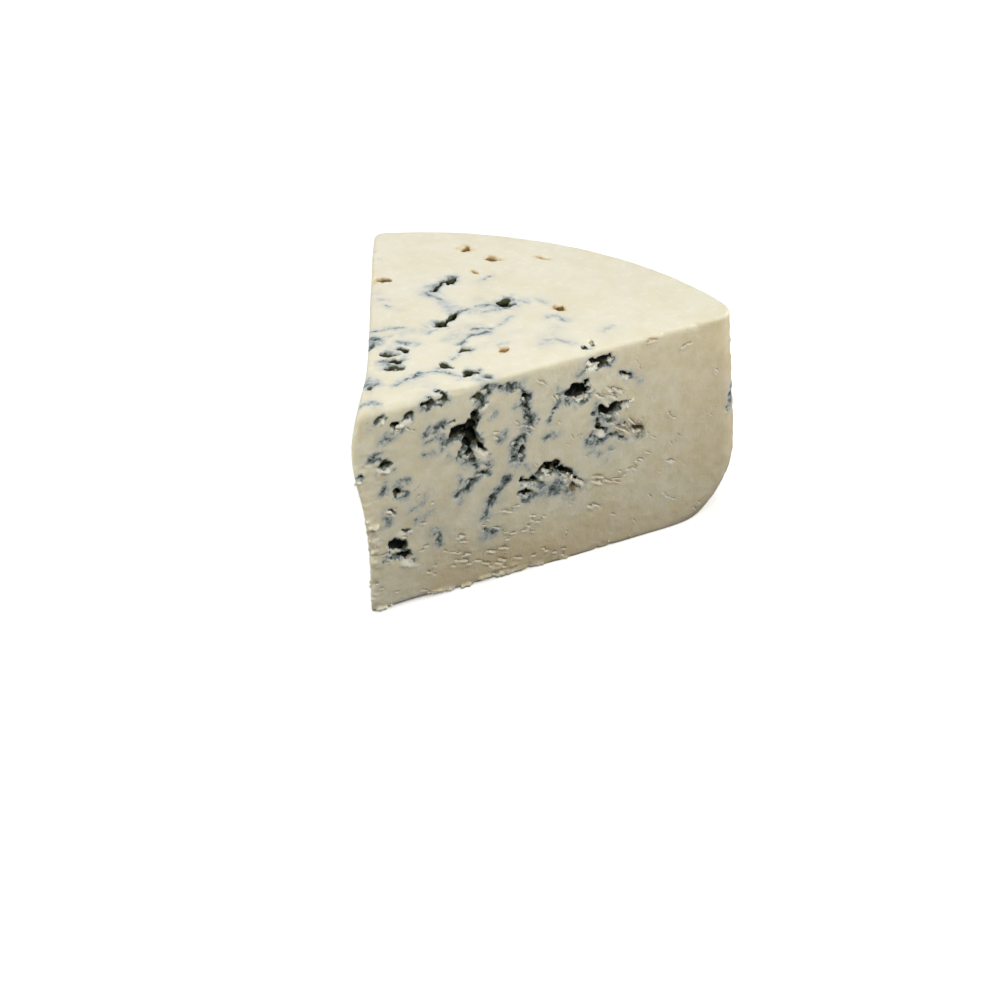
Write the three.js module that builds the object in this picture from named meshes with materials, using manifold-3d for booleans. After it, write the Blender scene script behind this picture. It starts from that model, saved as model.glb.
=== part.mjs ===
// A wedge of blue cheese: about a sixth of a wheel that was first sliced level through its middle.
// It stands on the wheel's flat face, with the level slice up and the tip toward -Y.
// Millimetres, +Z up. The shape is worked out from the tip, then moved over the middle of its box.

import * as THREE from "three";
import { mergeVertices } from "three/addons/utils/BufferGeometryUtils.js";
import Module from "manifold-3d";

const wasm = await Module();
wasm.setup();

// The wheel
const WHEEL_RADIUS = 112.5; // widest, where the foot starts to turn in
const SLICE_RADIUS = 110.5; // at the level slice
const HEIGHT = 66.5; // from the flat face to the level slice
const FOOT_TURN_HEIGHT = 23;
const FOOT_TURN_RADIUS = 27.2;
const AXIS_FROM_TIP = new THREE.Vector2(12.6, 4.9); // the knife cuts meet short of the wheel's axis

// The knife cuts
const WEDGE_ANGLE = THREE.MathUtils.degToRad(61);
const RIGHT_CUT_BOW = 0.3; // each cut bows outward by this much halfway along
const LEFT_CUT_BOW = 0.9;
const EDGE_ROUND = 1.3; // along the edges of the level slice
const EDGE_EASE = 0.3; // the middle of the rounding lies this share of it in from the sharp edge
const TIP_ROUND = 3;
const RIGHT_CORNER_ROUND = 6.8; // where the right cut meets the rim
const LEFT_CORNER_ROUND = 3;
const CUT_RIPPLE = 0.35;
const RIPPLE_LENGTH = 11;

// The left cut swells outward at the tip, where the knife ran off line
const SWELL = 5.2;
const SWELL_HEIGHT = 53;
const SWELL_FADE_ABOVE = 17;
const SWELL_FADE_BELOW = 20;
const SWELL_ALONG_LEFT = 19;
const SWELL_ALONG_RIGHT = 8;

// Mesh steps
const OUTLINE_STEP = 5;
const HEIGHT_STEPS = 12;
const WHEEL_STEPS = 96;
const FOOT_STEPS = 8;
const CORNER_STEPS = 3;
const CLEARANCE = 6; // the cutting solid stands past the foot by this much
const RIM_CLEARANCE = 0.6; // past the rim by this much
const SLICE_CLEARANCE = 0.02; // and past the level slice by this much
const WELD_DISTANCE = 1e-4;
const BEVEL_STEPS = 2;

// Holes left by the mould: along the cut from the tip, height, length, width, depth, turn in degrees
const RIGHT_HOLES = [
  [30, 52.5, 9, 5, 8, 5],
  [32.5, 48, 6, 3.5, 7, -20],
  [32, 44.5, 6, 3, 6, -60],
  [34, 56.5, 5, 2.2, 4, 68],
  [36.5, 44.5, 6, 1.8, 3, -46],
  [33.5, 62, 4, 2.5, 5, 10],
  [37, 64, 3, 2.4, 4, 45],
  [23, 64, 4, 2.6, 4, 0],
  [18.5, 64, 4.5, 3, 3, 28],
  [3.5, 62.5, 3, 2.4, 3, 36],
  [8, 59, 4.5, 2.6, 5, 16],
  [12, 61, 3.6, 2.2, 4, 17],
  [5.5, 47, 4.4, 3, 5, 22],
  [9.5, 37, 3.6, 2.6, 3, 10],
  [7.5, 21, 8, 5.6, 7, 55],
  [10.5, 15.5, 7.5, 2.8, 5, -31],
  [67.5, 56.5, 6.5, 2.6, 6, -12],
  [67.5, 53.5, 9, 3, 7, -4],
  [72.5, 62.5, 6, 3, 6, -37],
  [75.5, 63.5, 6, 2.2, 5, -7],
  [77, 45.5, 5.4, 4, 7, -6],
  [82, 46, 7, 2.4, 5, 2],
  [74, 39.5, 5, 1.9, 3, 6],
  [87.5, 36.5, 5, 2.2, 3, -36],
  [83, 56, 4.6, 1.8, 3, -37],
  [57.5, 32, 5, 2.8, 6, 10],
  [61, 29, 5, 3.4, 6, -46],
  [67, 25.5, 10, 1.8, 3, -25],
  [51.5, 29, 9, 2.8, 6, -18],
  [51, 25.5, 5.4, 2.8, 4, -25],
  [36, 36.5, 4.6, 1.9, 3, 5],
  [50, 58, 3.8, 1.9, 4, -40],
  [49, 40, 4.6, 1.8, 3, 85],
  [66, 23, 4, 2, 3, -28],
];

// Holes in the level slice: right of the tip, back from the tip, length, width, depth, turn in degrees
const SLICE_HOLES = [
  [-20.5, 77.5, 5, 3.4, 5, 74],
  [-21.5, 72.5, 6, 1.7, 3, 89],
  [-9, 54.5, 5, 3.6, 5, 60],
  [-8.5, 59.5, 8, 2.1, 4, -89],
  [0, 75, 6, 4.8, 4, 31],
  [-10.5, 36.5, 4, 2.6, 3, 31],
  [-13, 31.5, 5, 2.5, 3, 31],
  [-10, 29, 6, 2.5, 3, 31],
  [-7.5, 25.5, 6, 4, 3, 37],
  [4.5, 45, 3.6, 2.4, 3, 43],
  [4.5, 34.5, 4.4, 2.2, 3, -11],
  [12.5, 33.5, 5.4, 3.2, 4, 71],
  [14, 50.5, 3, 2.6, 3, 47],
  [-37.5, 68, 4.4, 4, 4, 53],
  [-26, 97.5, 3.6, 3, 3, 16],
  [-16.5, 96, 5, 3, 3, 11],
  [15, 80, 4, 3, 3, 6],
];

// Holes in the left cut follow a rule: so many, spread at random over the veined part
const LEFT_HOLE_COUNT = 22;
const LEFT_HOLE_SEED = 61;
const VEINED_START = 13;
const VEINED_REACH = 78;
const VEINED_FOOT = 14;
const HOLE_LENGTH_RANGE = [3.4, 8.5];
const HOLE_SLIMNESS_RANGE = [0.35, 0.65];
const HOLE_DEPTH_RANGE = [3, 6.5];
const HOLE_TURN_RANGE = [-60, 60];

// Flakes that stand proud of the tip edge and the foot: along the right cut, height, length, thickness
const FLAKES = [
  [1.5, 27, 4.5, 1.8],
  [1, 33, 4, 2],
  [2.5, 10.5, 4, 1.6],
  [6, 1.4, 7, 2],
  [21, 1.2, 8, 1.8],
  [43.5, 1.2, 9, 1.8],
  [48, 1.4, 6, 2],
];
const FLAKE_SINK = 0.4; // of each flake's thickness, into the cut
const HOLE_CRAG = 0.3; // how far a hole's wall wanders, as a share of its size
const FLAKE_CRAG = 0.18;
const CRAG_WAVES = 2.2; // waves of that wandering across a lump
const HOLE_DETAIL = 1;
const LARGE_HOLE_LENGTH = 9;
const LARGE_HOLE_DETAIL = 2;
const FIRST_SEED = { right: 1, slice: 50, left: 80, flake: 120 };

const halfAngle = WEDGE_ANGLE / 2;
const rightAlong = new THREE.Vector3(Math.sin(halfAngle), Math.cos(halfAngle), 0);
const leftAlong = new THREE.Vector3(-Math.sin(halfAngle), Math.cos(halfAngle), 0);
const rightOut = new THREE.Vector3(Math.cos(halfAngle), -Math.sin(halfAngle), 0);
const leftOut = new THREE.Vector3(-Math.cos(halfAngle), -Math.sin(halfAngle), 0);
const upward = new THREE.Vector3(0, 0, 1);

// A repeatable stream of numbers from 0 to 1
function randomStream(seed) {
  let state = seed;
  return () => {
    state = (state * 1664525 + 1013904223) % 4294967296;
    return state / 4294967296;
  };
}

function within(range, share) {
  return range[0] + (range[1] - range[0]) * share;
}

// A smooth uneven value from -1 to 1, different for each seed
function unevenness(x, y, z, seed) {
  const first = Math.sin(x * 1.3 + y * 0.7 + seed * 2.1) * Math.cos(z * 1.1 - seed);
  const second = Math.sin(y * 2.3 - z * 1.9 + seed * 3.7) * Math.cos(x * 2.1 + seed * 1.3);
  return (first + second) / 2;
}

function eachVertex(geometry, move) {
  const position = geometry.attributes.position;
  const vertex = new THREE.Vector3();
  for (let i = 0; i < position.count; i += 1) {
    vertex.fromBufferAttribute(position, i);
    move(vertex);
    position.setXYZ(i, vertex.x, vertex.y, vertex.z);
  }
}

// Position-only closed mesh, with the triangles that a pole squeezes flat left out
function toSolid(geometry) {
  const bare = new THREE.BufferGeometry();
  bare.setAttribute("position", geometry.attributes.position.clone());
  if (geometry.index) {
    bare.setIndex(geometry.index.clone());
  }
  const merged = mergeVertices(bare, WELD_DISTANCE);
  const triangles = [];
  const index = merged.index.array;
  for (let i = 0; i < index.length; i += 3) {
    const [a, b, c] = [index[i], index[i + 1], index[i + 2]];
    if (a !== b && b !== c && c !== a) {
      triangles.push(a, b, c);
    }
  }
  const vertProperties = new Float32Array(merged.attributes.position.array);
  const triVerts = new Uint32Array(triangles);
  return new wasm.Manifold(new wasm.Mesh({ numProp: 3, vertProperties, triVerts }));
}

// Half of the wheel, turned about its axis: flat face, turned-in foot, side, rounded edge, level slice
function halfWheel() {
  const footInset = FOOT_TURN_RADIUS - Math.sqrt(FOOT_TURN_RADIUS ** 2 - FOOT_TURN_HEIGHT ** 2);
  const footTurn = Math.asin(FOOT_TURN_HEIGHT / FOOT_TURN_RADIUS);
  const profile = [new THREE.Vector2(0, 0)];
  for (let i = 0; i <= FOOT_STEPS; i += 1) {
    const turn = footTurn * (1 - i / FOOT_STEPS);
    const inset = FOOT_TURN_RADIUS * (1 - Math.cos(turn));
    const height = FOOT_TURN_HEIGHT - FOOT_TURN_RADIUS * Math.sin(turn);
    profile.push(new THREE.Vector2(WHEEL_RADIUS - inset, height));
  }
  profile[1].set(WHEEL_RADIUS - footInset, 0);
  profile.push(new THREE.Vector2(SLICE_RADIUS, HEIGHT - EDGE_ROUND));
  profile.push(new THREE.Vector2(SLICE_RADIUS - EDGE_ROUND * EDGE_EASE, HEIGHT - EDGE_ROUND * EDGE_EASE));
  profile.push(new THREE.Vector2(SLICE_RADIUS - EDGE_ROUND, HEIGHT));
  profile.push(new THREE.Vector2(0, HEIGHT));
  const wheel = new THREE.LatheGeometry(profile, WHEEL_STEPS);
  wheel.rotateX(Math.PI / 2);
  wheel.translate(AXIS_FROM_TIP.x, AXIS_FROM_TIP.y, 0);
  return toSolid(wheel);
}

// Where a cut from the tip comes out through a circle about the wheel's axis
function reachToCircle(along, radius) {
  const direction = new THREE.Vector2(along.x, along.y);
  const middle = direction.dot(AXIS_FROM_TIP);
  const offset = AXIS_FROM_TIP.lengthSq() - middle ** 2;
  return middle + Math.sqrt(radius ** 2 - offset);
}

// A point on the level plan, so far along a cut and so far out from it
function planPoint(along, out, reach, offset) {
  return new THREE.Vector2(along.x * reach + out.x * offset, along.y * reach + out.y * offset);
}

// Plan of the knife cuts: tip, right cut, rim, left cut, with the corners eased
function cutOutline() {
  const radius = WHEEL_RADIUS + RIM_CLEARANCE;
  const rightReach = reachToCircle(rightAlong, radius);
  const leftReach = reachToCircle(leftAlong, radius);
  const rightCorner = planPoint(rightAlong, rightOut, rightReach, 0);
  const leftCorner = planPoint(leftAlong, leftOut, leftReach, 0);
  const rightEnd = planPoint(rightAlong, rightOut, rightReach - RIGHT_CORNER_ROUND, 0);
  const leftEnd = planPoint(leftAlong, leftOut, leftReach - LEFT_CORNER_ROUND, 0);
  const rightMiddle = planPoint(rightAlong, rightOut, rightReach / 2, RIGHT_CUT_BOW * 2);
  const leftMiddle = planPoint(leftAlong, leftOut, leftReach / 2, LEFT_CUT_BOW * 2);
  const tip = new THREE.Vector2();
  const tipRight = planPoint(rightAlong, rightOut, TIP_ROUND, 0);
  const tipLeft = planPoint(leftAlong, leftOut, TIP_ROUND, 0);
  const rightTurn = rightCorner.clone().sub(AXIS_FROM_TIP).angle() + RIGHT_CORNER_ROUND / radius;
  const leftTurn = leftCorner.clone().sub(AXIS_FROM_TIP).angle() - LEFT_CORNER_ROUND / radius;
  const rim = new THREE.EllipseCurve(AXIS_FROM_TIP.x, AXIS_FROM_TIP.y, radius, radius, rightTurn, leftTurn);
  const sides = [
    new THREE.QuadraticBezierCurve(tipLeft, tip, tipRight),
    new THREE.QuadraticBezierCurve(tipRight, rightMiddle, rightEnd),
    new THREE.QuadraticBezierCurve(rightEnd, rightCorner, rim.getPoint(0)),
    rim,
    new THREE.QuadraticBezierCurve(rim.getPoint(1), leftCorner, leftEnd),
    new THREE.QuadraticBezierCurve(leftEnd, leftMiddle, tipLeft),
  ];
  const points = sides.flatMap((side) => {
    const steps = Math.max(CORNER_STEPS, Math.round(side.getLength() / OUTLINE_STEP));
    return side.getSpacedPoints(steps).slice(0, -1);
  });
  return new THREE.Shape(points);
}

// The swell at the tip and the ripple of both cuts
function bendCuts(vertex) {
  const alongLeft = Math.max(vertex.dot(leftAlong), 0);
  const fromLeft = -vertex.dot(leftOut);
  const fade = vertex.z > SWELL_HEIGHT ? SWELL_FADE_ABOVE : SWELL_FADE_BELOW;
  const rise = Math.exp(-(((vertex.z - SWELL_HEIGHT) / fade) ** 2));
  const spread = Math.exp(-((alongLeft / SWELL_ALONG_LEFT) ** 2) - (fromLeft / SWELL_ALONG_RIGHT) ** 2);
  const x = vertex.x / RIPPLE_LENGTH;
  const y = vertex.y / RIPPLE_LENGTH;
  const z = vertex.z / RIPPLE_LENGTH;
  const ripple = CUT_RIPPLE * unevenness(x, y, z, 1);
  const onRight = Math.exp(-((vertex.dot(rightOut) / EDGE_ROUND) ** 2));
  const onLeft = Math.exp(-((fromLeft / EDGE_ROUND) ** 2));
  vertex.addScaledVector(leftOut, SWELL * rise * spread + ripple * onLeft);
  vertex.addScaledVector(rightOut, ripple * onRight);
}

// Everything that the knife cuts leave, standing past the foot
function cutBlock() {
  const block = new THREE.ExtrudeGeometry(cutOutline(), {
    depth: HEIGHT + CLEARANCE - EDGE_ROUND,
    steps: HEIGHT_STEPS,
    bevelEnabled: true,
    bevelThickness: EDGE_ROUND,
    bevelSize: EDGE_ROUND,
    bevelOffset: -EDGE_ROUND,
    bevelSegments: BEVEL_STEPS,
  });
  block.translate(0, 0, SLICE_CLEARANCE - CLEARANCE);
  eachVertex(block, bendCuts);
  return toSolid(block);
}

// A ragged lump of the stated size, its wall wandering in and out
function raggedLump(length, width, depth, crag, detail, seed) {
  const lump = new THREE.IcosahedronGeometry(1, detail);
  eachVertex(lump, (vertex) => {
    const { x, y, z } = vertex.clone().multiplyScalar(CRAG_WAVES);
    const wander = unevenness(x, y, z, seed);
    vertex.multiplyScalar(1 + crag * wander);
  });
  lump.scale(length / 2, width / 2, depth);
  return lump;
}

function placed(geometry, along, across, out, position) {
  const frame = new THREE.Matrix4().makeBasis(along, across, out);
  frame.setPosition(position);
  geometry.applyMatrix4(frame);
  return toSolid(geometry);
}

function hole(row, along, across, out, origin, seed) {
  const [first, second, length, width, depth, turn] = row;
  const detail = length < LARGE_HOLE_LENGTH ? HOLE_DETAIL : LARGE_HOLE_DETAIL;
  const lump = raggedLump(length, width, depth, HOLE_CRAG, detail, seed);
  lump.rotateZ(THREE.MathUtils.degToRad(turn));
  const position = origin.clone().addScaledVector(along, first).addScaledVector(across, second);
  return placed(lump, along, across, out, position);
}

function leftHoleRows() {
  const next = randomStream(LEFT_HOLE_SEED);
  const rows = [];
  for (let i = 0; i < LEFT_HOLE_COUNT; i += 1) {
    const length = within(HOLE_LENGTH_RANGE, next());
    const along = within([VEINED_START, VEINED_REACH], next());
    const height = within([VEINED_FOOT, HEIGHT - length], next());
    const width = length * within(HOLE_SLIMNESS_RANGE, next());
    const depth = within(HOLE_DEPTH_RANGE, next());
    rows.push([along, height, length, width, depth, within(HOLE_TURN_RANGE, next())]);
  }
  return rows;
}

function allHoles() {
  const tip = new THREE.Vector3();
  const tipAtSlice = new THREE.Vector3(0, 0, HEIGHT);
  const rightward = new THREE.Vector3(1, 0, 0);
  const back = new THREE.Vector3(0, 1, 0);
  const towardTip = leftAlong.clone().negate();
  const holes = [];
  RIGHT_HOLES.forEach((row, i) => {
    holes.push(hole(row, rightAlong, upward, rightOut, tip, FIRST_SEED.right + i));
  });
  SLICE_HOLES.forEach((row, i) => {
    holes.push(hole(row, rightward, back, upward, tipAtSlice, FIRST_SEED.slice + i));
  });
  leftHoleRows().forEach(([along, ...rest], i) => {
    holes.push(hole([-along, ...rest], towardTip, upward, leftOut, tip, FIRST_SEED.left + i));
  });
  return holes;
}

function allFlakes() {
  return FLAKES.map(([along, height, length, thickness], i) => {
    const lump = raggedLump(length, thickness, thickness, FLAKE_CRAG, HOLE_DETAIL, FIRST_SEED.flake + i);
    const position = rightAlong.clone().multiplyScalar(along).addScaledVector(upward, height);
    position.addScaledVector(rightOut, -FLAKE_SINK * thickness);
    return placed(lump, rightAlong, upward, rightOut, position);
  });
}

function wedgeSolid() {
  let solid = halfWheel().intersect(cutBlock());
  allFlakes().forEach((flake) => {
    solid = solid.add(flake);
  });
  allHoles().forEach((opening) => {
    solid = solid.subtract(opening);
  });
  return solid;
}

function toGeometry(solid) {
  const mesh = solid.getMesh();
  const geometry = new THREE.BufferGeometry();
  geometry.setAttribute("position", new THREE.BufferAttribute(new Float32Array(mesh.vertProperties), 3));
  geometry.setIndex(new THREE.BufferAttribute(new Uint32Array(mesh.triVerts), 1));
  geometry.computeVertexNormals();
  return geometry;
}

const wedgeGeometry = toGeometry(wedgeSolid());
wedgeGeometry.computeBoundingBox();
const box = wedgeGeometry.boundingBox;
wedgeGeometry.translate(-(box.min.x + box.max.x) / 2, -(box.min.y + box.max.y) / 2, -box.min.z);

const paste = new THREE.MeshStandardMaterial({ name: "cheese_paste", color: 0xe8e0c4, roughness: 0.55 });
const wedge = new THREE.Mesh(wedgeGeometry, paste);
wedge.name = "wedge";

const cheese = new THREE.Group();
cheese.name = "blue_cheese_wedge";
cheese.add(wedge);

export default cheese;
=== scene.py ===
import math

import bpy
import numpy as np
from mathutils import Matrix, Vector


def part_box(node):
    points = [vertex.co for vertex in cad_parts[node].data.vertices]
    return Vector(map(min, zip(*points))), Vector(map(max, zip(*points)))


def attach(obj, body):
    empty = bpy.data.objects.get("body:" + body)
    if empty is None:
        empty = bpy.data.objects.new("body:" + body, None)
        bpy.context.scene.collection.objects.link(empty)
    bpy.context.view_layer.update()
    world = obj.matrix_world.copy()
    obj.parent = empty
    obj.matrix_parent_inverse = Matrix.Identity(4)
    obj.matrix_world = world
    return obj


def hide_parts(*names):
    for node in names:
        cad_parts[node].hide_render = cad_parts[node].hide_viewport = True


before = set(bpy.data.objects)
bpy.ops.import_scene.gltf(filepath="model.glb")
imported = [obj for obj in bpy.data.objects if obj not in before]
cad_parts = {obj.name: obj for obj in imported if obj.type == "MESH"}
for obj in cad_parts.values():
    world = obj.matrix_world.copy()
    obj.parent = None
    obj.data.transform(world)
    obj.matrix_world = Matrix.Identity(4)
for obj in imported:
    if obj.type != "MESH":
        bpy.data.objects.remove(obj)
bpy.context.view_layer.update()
print("frame loaded")

# All lengths below are millimetres from the tip at the foot: x right, y back, z up.
wedge = {
    "tipFromCorner": (54.97, 1.1, 0.0),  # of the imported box's low corner
    "height": 66.5,
    "halfAngle": math.radians(30.5),
    "axis": (12.6, 4.9),                 # of the wheel
    "wheelRadius": 112.5,
    "sliceRadius": 110.5,
    "footTurnHeight": 23.0,
    "footTurnRadius": 27.2,
    "rightBow": 0.3,
    "leftBow": 0.9,
    "cutLength": 123.0,
    "tipRound": 2.2,
    "rightCornerRound": 6.8,
    "leftCornerRound": 3.0,
    "sliceEdgeRound": 1.1,
    "tipSliceRound": 3.0,                # more, where the tip meets the slice
    "tipSliceReach": 16.0,
    "footRound": 0.8,
    "swell": 5.2,
    "swellHeight": 53.0,
    "swellAbove": 17.0,
    "swellBelow": 20.0,
    "swellAlong": 19.0,
    "swellAcross": 8.0,
    "boxLow": (-56.0, -2.2, 0.0),
    "boxHigh": (60.5, 117.6, 66.5),
    "voxel": 0.38,
    "margin": 3.0,
    "band": 2.4,                         # the relief is worked out this near to the surface
    "triangles": 194000,
}
cosHalf = math.cos(wedge["halfAngle"])
sinHalf = math.sin(wedge["halfAngle"])
metre = 0.001
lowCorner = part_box("wedge")[0]
tipPlace = np.array(lowCorner) + np.array(wedge["tipFromCorner"]) * metre

# One lattice of random numbers serves lumps and curds of every size
noise = {
    "seed": 7,
    "cells": 64,                               # a power of two, so a cell wraps by its low bits
    "lumpStep": 7.31, "lumpStart": 31.7,       # where on the lattice a shift lands
    "curdStep": 5.17, "curdStart": 23.3,
    "curdJitter": 0.45,
    "octaveStep": 3.7,
}
lattice = np.random.default_rng(noise["seed"]).uniform(-1, 1, (noise["cells"],) * 3).astype(np.float32)
lastCell = noise["cells"] - 1


# Smooth random lumps
def lumps(points, size, shift):
    q = points / np.float32(size) + np.float32(shift * noise["lumpStep"] + noise["lumpStart"])
    cell = np.floor(q).astype(np.int32)
    f = (q - cell).astype(np.float32)
    f = f * f * (3 - 2 * f)
    cell &= lastCell
    nextCell = (cell + 1) & lastCell
    total = np.zeros(len(points), np.float32)
    for corner in range(8):
        pick = [(corner >> axis) & 1 for axis in range(3)]
        index = [nextCell[:, a] if pick[a] else cell[:, a] for a in range(3)]
        weight = np.ones(len(points), np.float32)
        for a in range(3):
            weight *= f[:, a] if pick[a] else 1 - f[:, a]
        total += weight * lattice[index[0], index[1], index[2]]
    return total


# Lumps with finer and lower lumps on them
def layered(points, size, shift, octaves):
    total = np.zeros(len(points), np.float32)
    for octave in range(octaves):
        total += lumps(points, size / 2 ** octave, shift + octave * noise["octaveStep"]) / 2 ** octave
    return total


# Distance to the nearest of many scattered points: low in the middle of a curd, high between curds
def curds(points, size, shift):
    q = points / np.float32(size) + np.float32(shift * noise["curdStep"] + noise["curdStart"])
    cell = np.floor(q).astype(np.int32)
    f = (q - cell).astype(np.float32)
    best = np.full(len(points), 9.0, np.float32)
    for dx in (-1, 0, 1):
        for dy in (-1, 0, 1):
            for dz in (-1, 0, 1):
                a, b, c = ((cell[:, k] + d) & lastCell for k, d in enumerate((dx, dy, dz)))
                gapX = dx + 0.5 + noise["curdJitter"] * lattice[a, b, c] - f[:, 0]
                gapY = dy + 0.5 + noise["curdJitter"] * lattice[b, c, a] - f[:, 1]
                gapZ = dz + 0.5 + noise["curdJitter"] * lattice[c, a, b] - f[:, 2]
                np.minimum(best, gapX * gapX + gapY * gapY + gapZ * gapZ, out=best)
    return np.sqrt(best)


def ease(low, high, value):
    t = np.clip((value - low) / (high - low), 0, 1)
    return t * t * (3 - 2 * t)


def roundedMax(a, b, size):
    h = np.maximum(size - np.abs(a - b), 0) / size
    return np.maximum(a, b) + h * h * size * 0.25


# Places on the three cut faces: along, across, out
def faceCoordinates(face, x, y, z):
    if face == "right":
        return x * sinHalf + y * cosHalf, z, x * cosHalf - y * sinHalf
    if face == "left":
        return -x * sinHalf + y * cosHalf, z, -x * cosHalf - y * sinHalf
    return x, y, z - wedge["height"]


faceAxes = {
    "right": ((sinHalf, cosHalf, 0), (0, 0, 1), (cosHalf, -sinHalf, 0), (0, 0, 0)),
    "left": ((-sinHalf, cosHalf, 0), (0, 0, 1), (-cosHalf, -sinHalf, 0), (0, 0, 0)),
    "slice": ((1, 0, 0), (0, 1, 0), (0, 0, 1), (0, 0, wedge["height"])),
}


def bow(along, amount):
    half = wedge["cutLength"] / 2
    return amount * np.maximum(1 - ((along - half) / half) ** 2, 0)


def rimDistance(x, y, z):
    fromAxis = np.hypot(x - wedge["axis"][0], y - wedge["axis"][1])
    turnHeight, turnRadius = wedge["footTurnHeight"], wedge["footTurnRadius"]
    taper = (wedge["wheelRadius"] - wedge["sliceRadius"]) / (wedge["height"] - turnHeight)
    side = fromAxis - (wedge["wheelRadius"] - taper * (z - turnHeight))
    middle = wedge["wheelRadius"] - turnRadius
    foot = np.hypot(np.maximum(fromAxis - middle, 0), z - turnHeight) - turnRadius
    return np.where(z > turnHeight, side, foot)


# How far the tip leans out over the left cut at each height
def tipSwell(z):
    fade = np.where(z > wedge["swellHeight"], wedge["swellAbove"], wedge["swellBelow"])
    return wedge["swell"] * np.exp(-((z - wedge["swellHeight"]) / fade) ** 2)


# Distance to the plain wedge, negative inside
def plainWedge(x, y, z):
    rise = tipSwell(z)
    push = np.zeros(1, np.float32)
    for _ in range(2):
        px, py = x + push * cosHalf, y + push * sinHalf
        along, _, out = faceCoordinates("left", px, py, z)
        push = rise * np.exp(-(np.maximum(along, 0) / wedge["swellAlong"]) ** 2
                             - (out / wedge["swellAcross"]) ** 2)
    x, y = x + push * cosHalf, y + push * sinHalf
    rightAlong, _, rightOut = faceCoordinates("right", x, y, z)
    leftAlong, _, leftOut = faceCoordinates("left", x, y, z)
    rightOut = rightOut - bow(rightAlong, wedge["rightBow"])
    leftOut = leftOut - bow(leftAlong, wedge["leftBow"])
    rim = rimDistance(x, y, z)
    body = roundedMax(rightOut, leftOut, wedge["tipRound"])
    body = roundedMax(body, rim, np.where(x > 0, wedge["rightCornerRound"], wedge["leftCornerRound"]))
    nearTip = np.exp(-(np.hypot(x, y) / wedge["tipSliceReach"]) ** 2)
    edge = wedge["sliceEdgeRound"] + wedge["tipSliceRound"] * nearTip
    body = roundedMax(body, z - wedge["height"], edge)
    return roundedMax(body, -z, wedge["footRound"])


# Rows: along, across, length, width, depth, turn in degrees
rightHoles = [
    (29.3, 51.9, 10.5, 5.6, 8, 2), (32.3, 47.9, 6.6, 4.8, 7, 0), (32.2, 44.3, 5, 3.8, 6, 80),
    (33.6, 55.6, 5, 2.6, 4, 68), (36.5, 44.5, 6, 1.8, 3, -46), (33.5, 62, 4, 2.5, 5, 10),
    (37, 64, 3, 2.4, 4, 45), (23, 64, 4, 2.6, 4, 0), (18.5, 64, 4.5, 3, 3, 28),
    (3.5, 62.5, 3, 2.4, 3, 36), (9, 58.8, 4.5, 2.6, 5, 10), (12.5, 61.3, 3.8, 2.2, 4, 30),
    (5.5, 47, 4.4, 3, 5, 22), (9.5, 37, 3.6, 2.6, 3, 10), (8.7, 20, 8.6, 4.8, 4.6, 42),
    (10.8, 16.2, 6, 3, 3.6, -31), (67.2, 55.6, 8, 4.4, 6, -14), (67.8, 53, 9.4, 3, 7, -6),
    (73.8, 63, 7.6, 3.8, 6, -20), (76.8, 62.8, 5, 1.8, 5, 4), (77.7, 45.4, 6.2, 4.8, 7, -6),
    (81.6, 46, 6.8, 2, 5, 4), (74.5, 39.6, 5.6, 1.7, 3, 8), (87.5, 36.5, 5, 2.2, 3, -36),
    (83, 56, 4.6, 1.8, 3, -37), (57.6, 32.2, 7.6, 4.4, 6.5, -4), (62.8, 29.4, 8, 3.2, 6, -36),
    (66.5, 25.9, 7, 1.8, 4, -30), (51.8, 29.4, 8.4, 2.5, 6, -17), (50.9, 25.5, 5.4, 2.9, 4, -16),
    (36, 36.5, 4.6, 1.9, 3, 5), (50, 58, 3.8, 1.9, 4, -40), (49, 40, 4.6, 1.8, 3, 85),
    (66, 23, 4, 2, 3, -28), (36, 58, 1.8, 1.5, 3, 7), (-2, 44.5, 2.4, 1.8, 3, -32),
    (7, 32, 3.3, 1.1, 2, -39), (11.5, 24.5, 3.5, 1.1, 2, -22), (71.2, 61.4, 3.2, 1.1, 3, -18),
    (32.5, 35, 3.3, 1.2, 2, 1), (46.5, 44, 1.8, 1.5, 3, 36), (50.5, 53.5, 2.2, 1.5, 2, 3),
]
sliceHoles = [
    (-20.5, 77.5, 5, 3.4, 5, 74), (-21.5, 72.5, 6, 1.7, 3, 89), (-9, 54.5, 5, 3.6, 5, 60),
    (-8.5, 59.5, 8, 2.1, 4, -89), (0, 75, 6, 4.8, 4, 31), (-10.5, 36.5, 4, 2.6, 3, 31),
    (-13, 31.5, 5, 2.5, 3, 31), (-10, 29, 6, 2.5, 3, 31), (-7.5, 25.5, 6, 4, 3, 37),
    (4.5, 45, 3.6, 2.4, 3, 43), (4.5, 34.5, 4.4, 2.2, 3, -11), (12.5, 33.5, 5.4, 3.2, 4, 71),
    (14, 50.5, 3, 2.6, 3, 47), (-37.5, 68, 4.4, 4, 4, 53), (-26, 97.5, 3.6, 3, 3, 16),
    (-16.5, 96, 5, 3, 3, 11), (15, 80, 4, 3, 3, 6), (18, 34.5, 2.5, 1.7, 2, 31),
    (-16.5, 86, 3.4, 1.2, 2, -4), (-4, 104, 4.8, 1.3, 1, 8),
]
tanSliceRows = {12, 13, 14, 15, 16, 18, 19}      # of sliceHoles: these show tan paste, not mould
oliveRightRows = {23, 27, 33}                    # of rightHoles: these are a little tan
leftRule = {
    "count": 22, "seed": 61, "along": (13, 78), "foot": 14, "length": (3.4, 8.5),
    "slimness": (0.35, 0.65), "depth": (3, 6.5), "turn": (-60, 60),
}


def between(limits, share):
    return limits[0] + (limits[1] - limits[0]) * share


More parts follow.
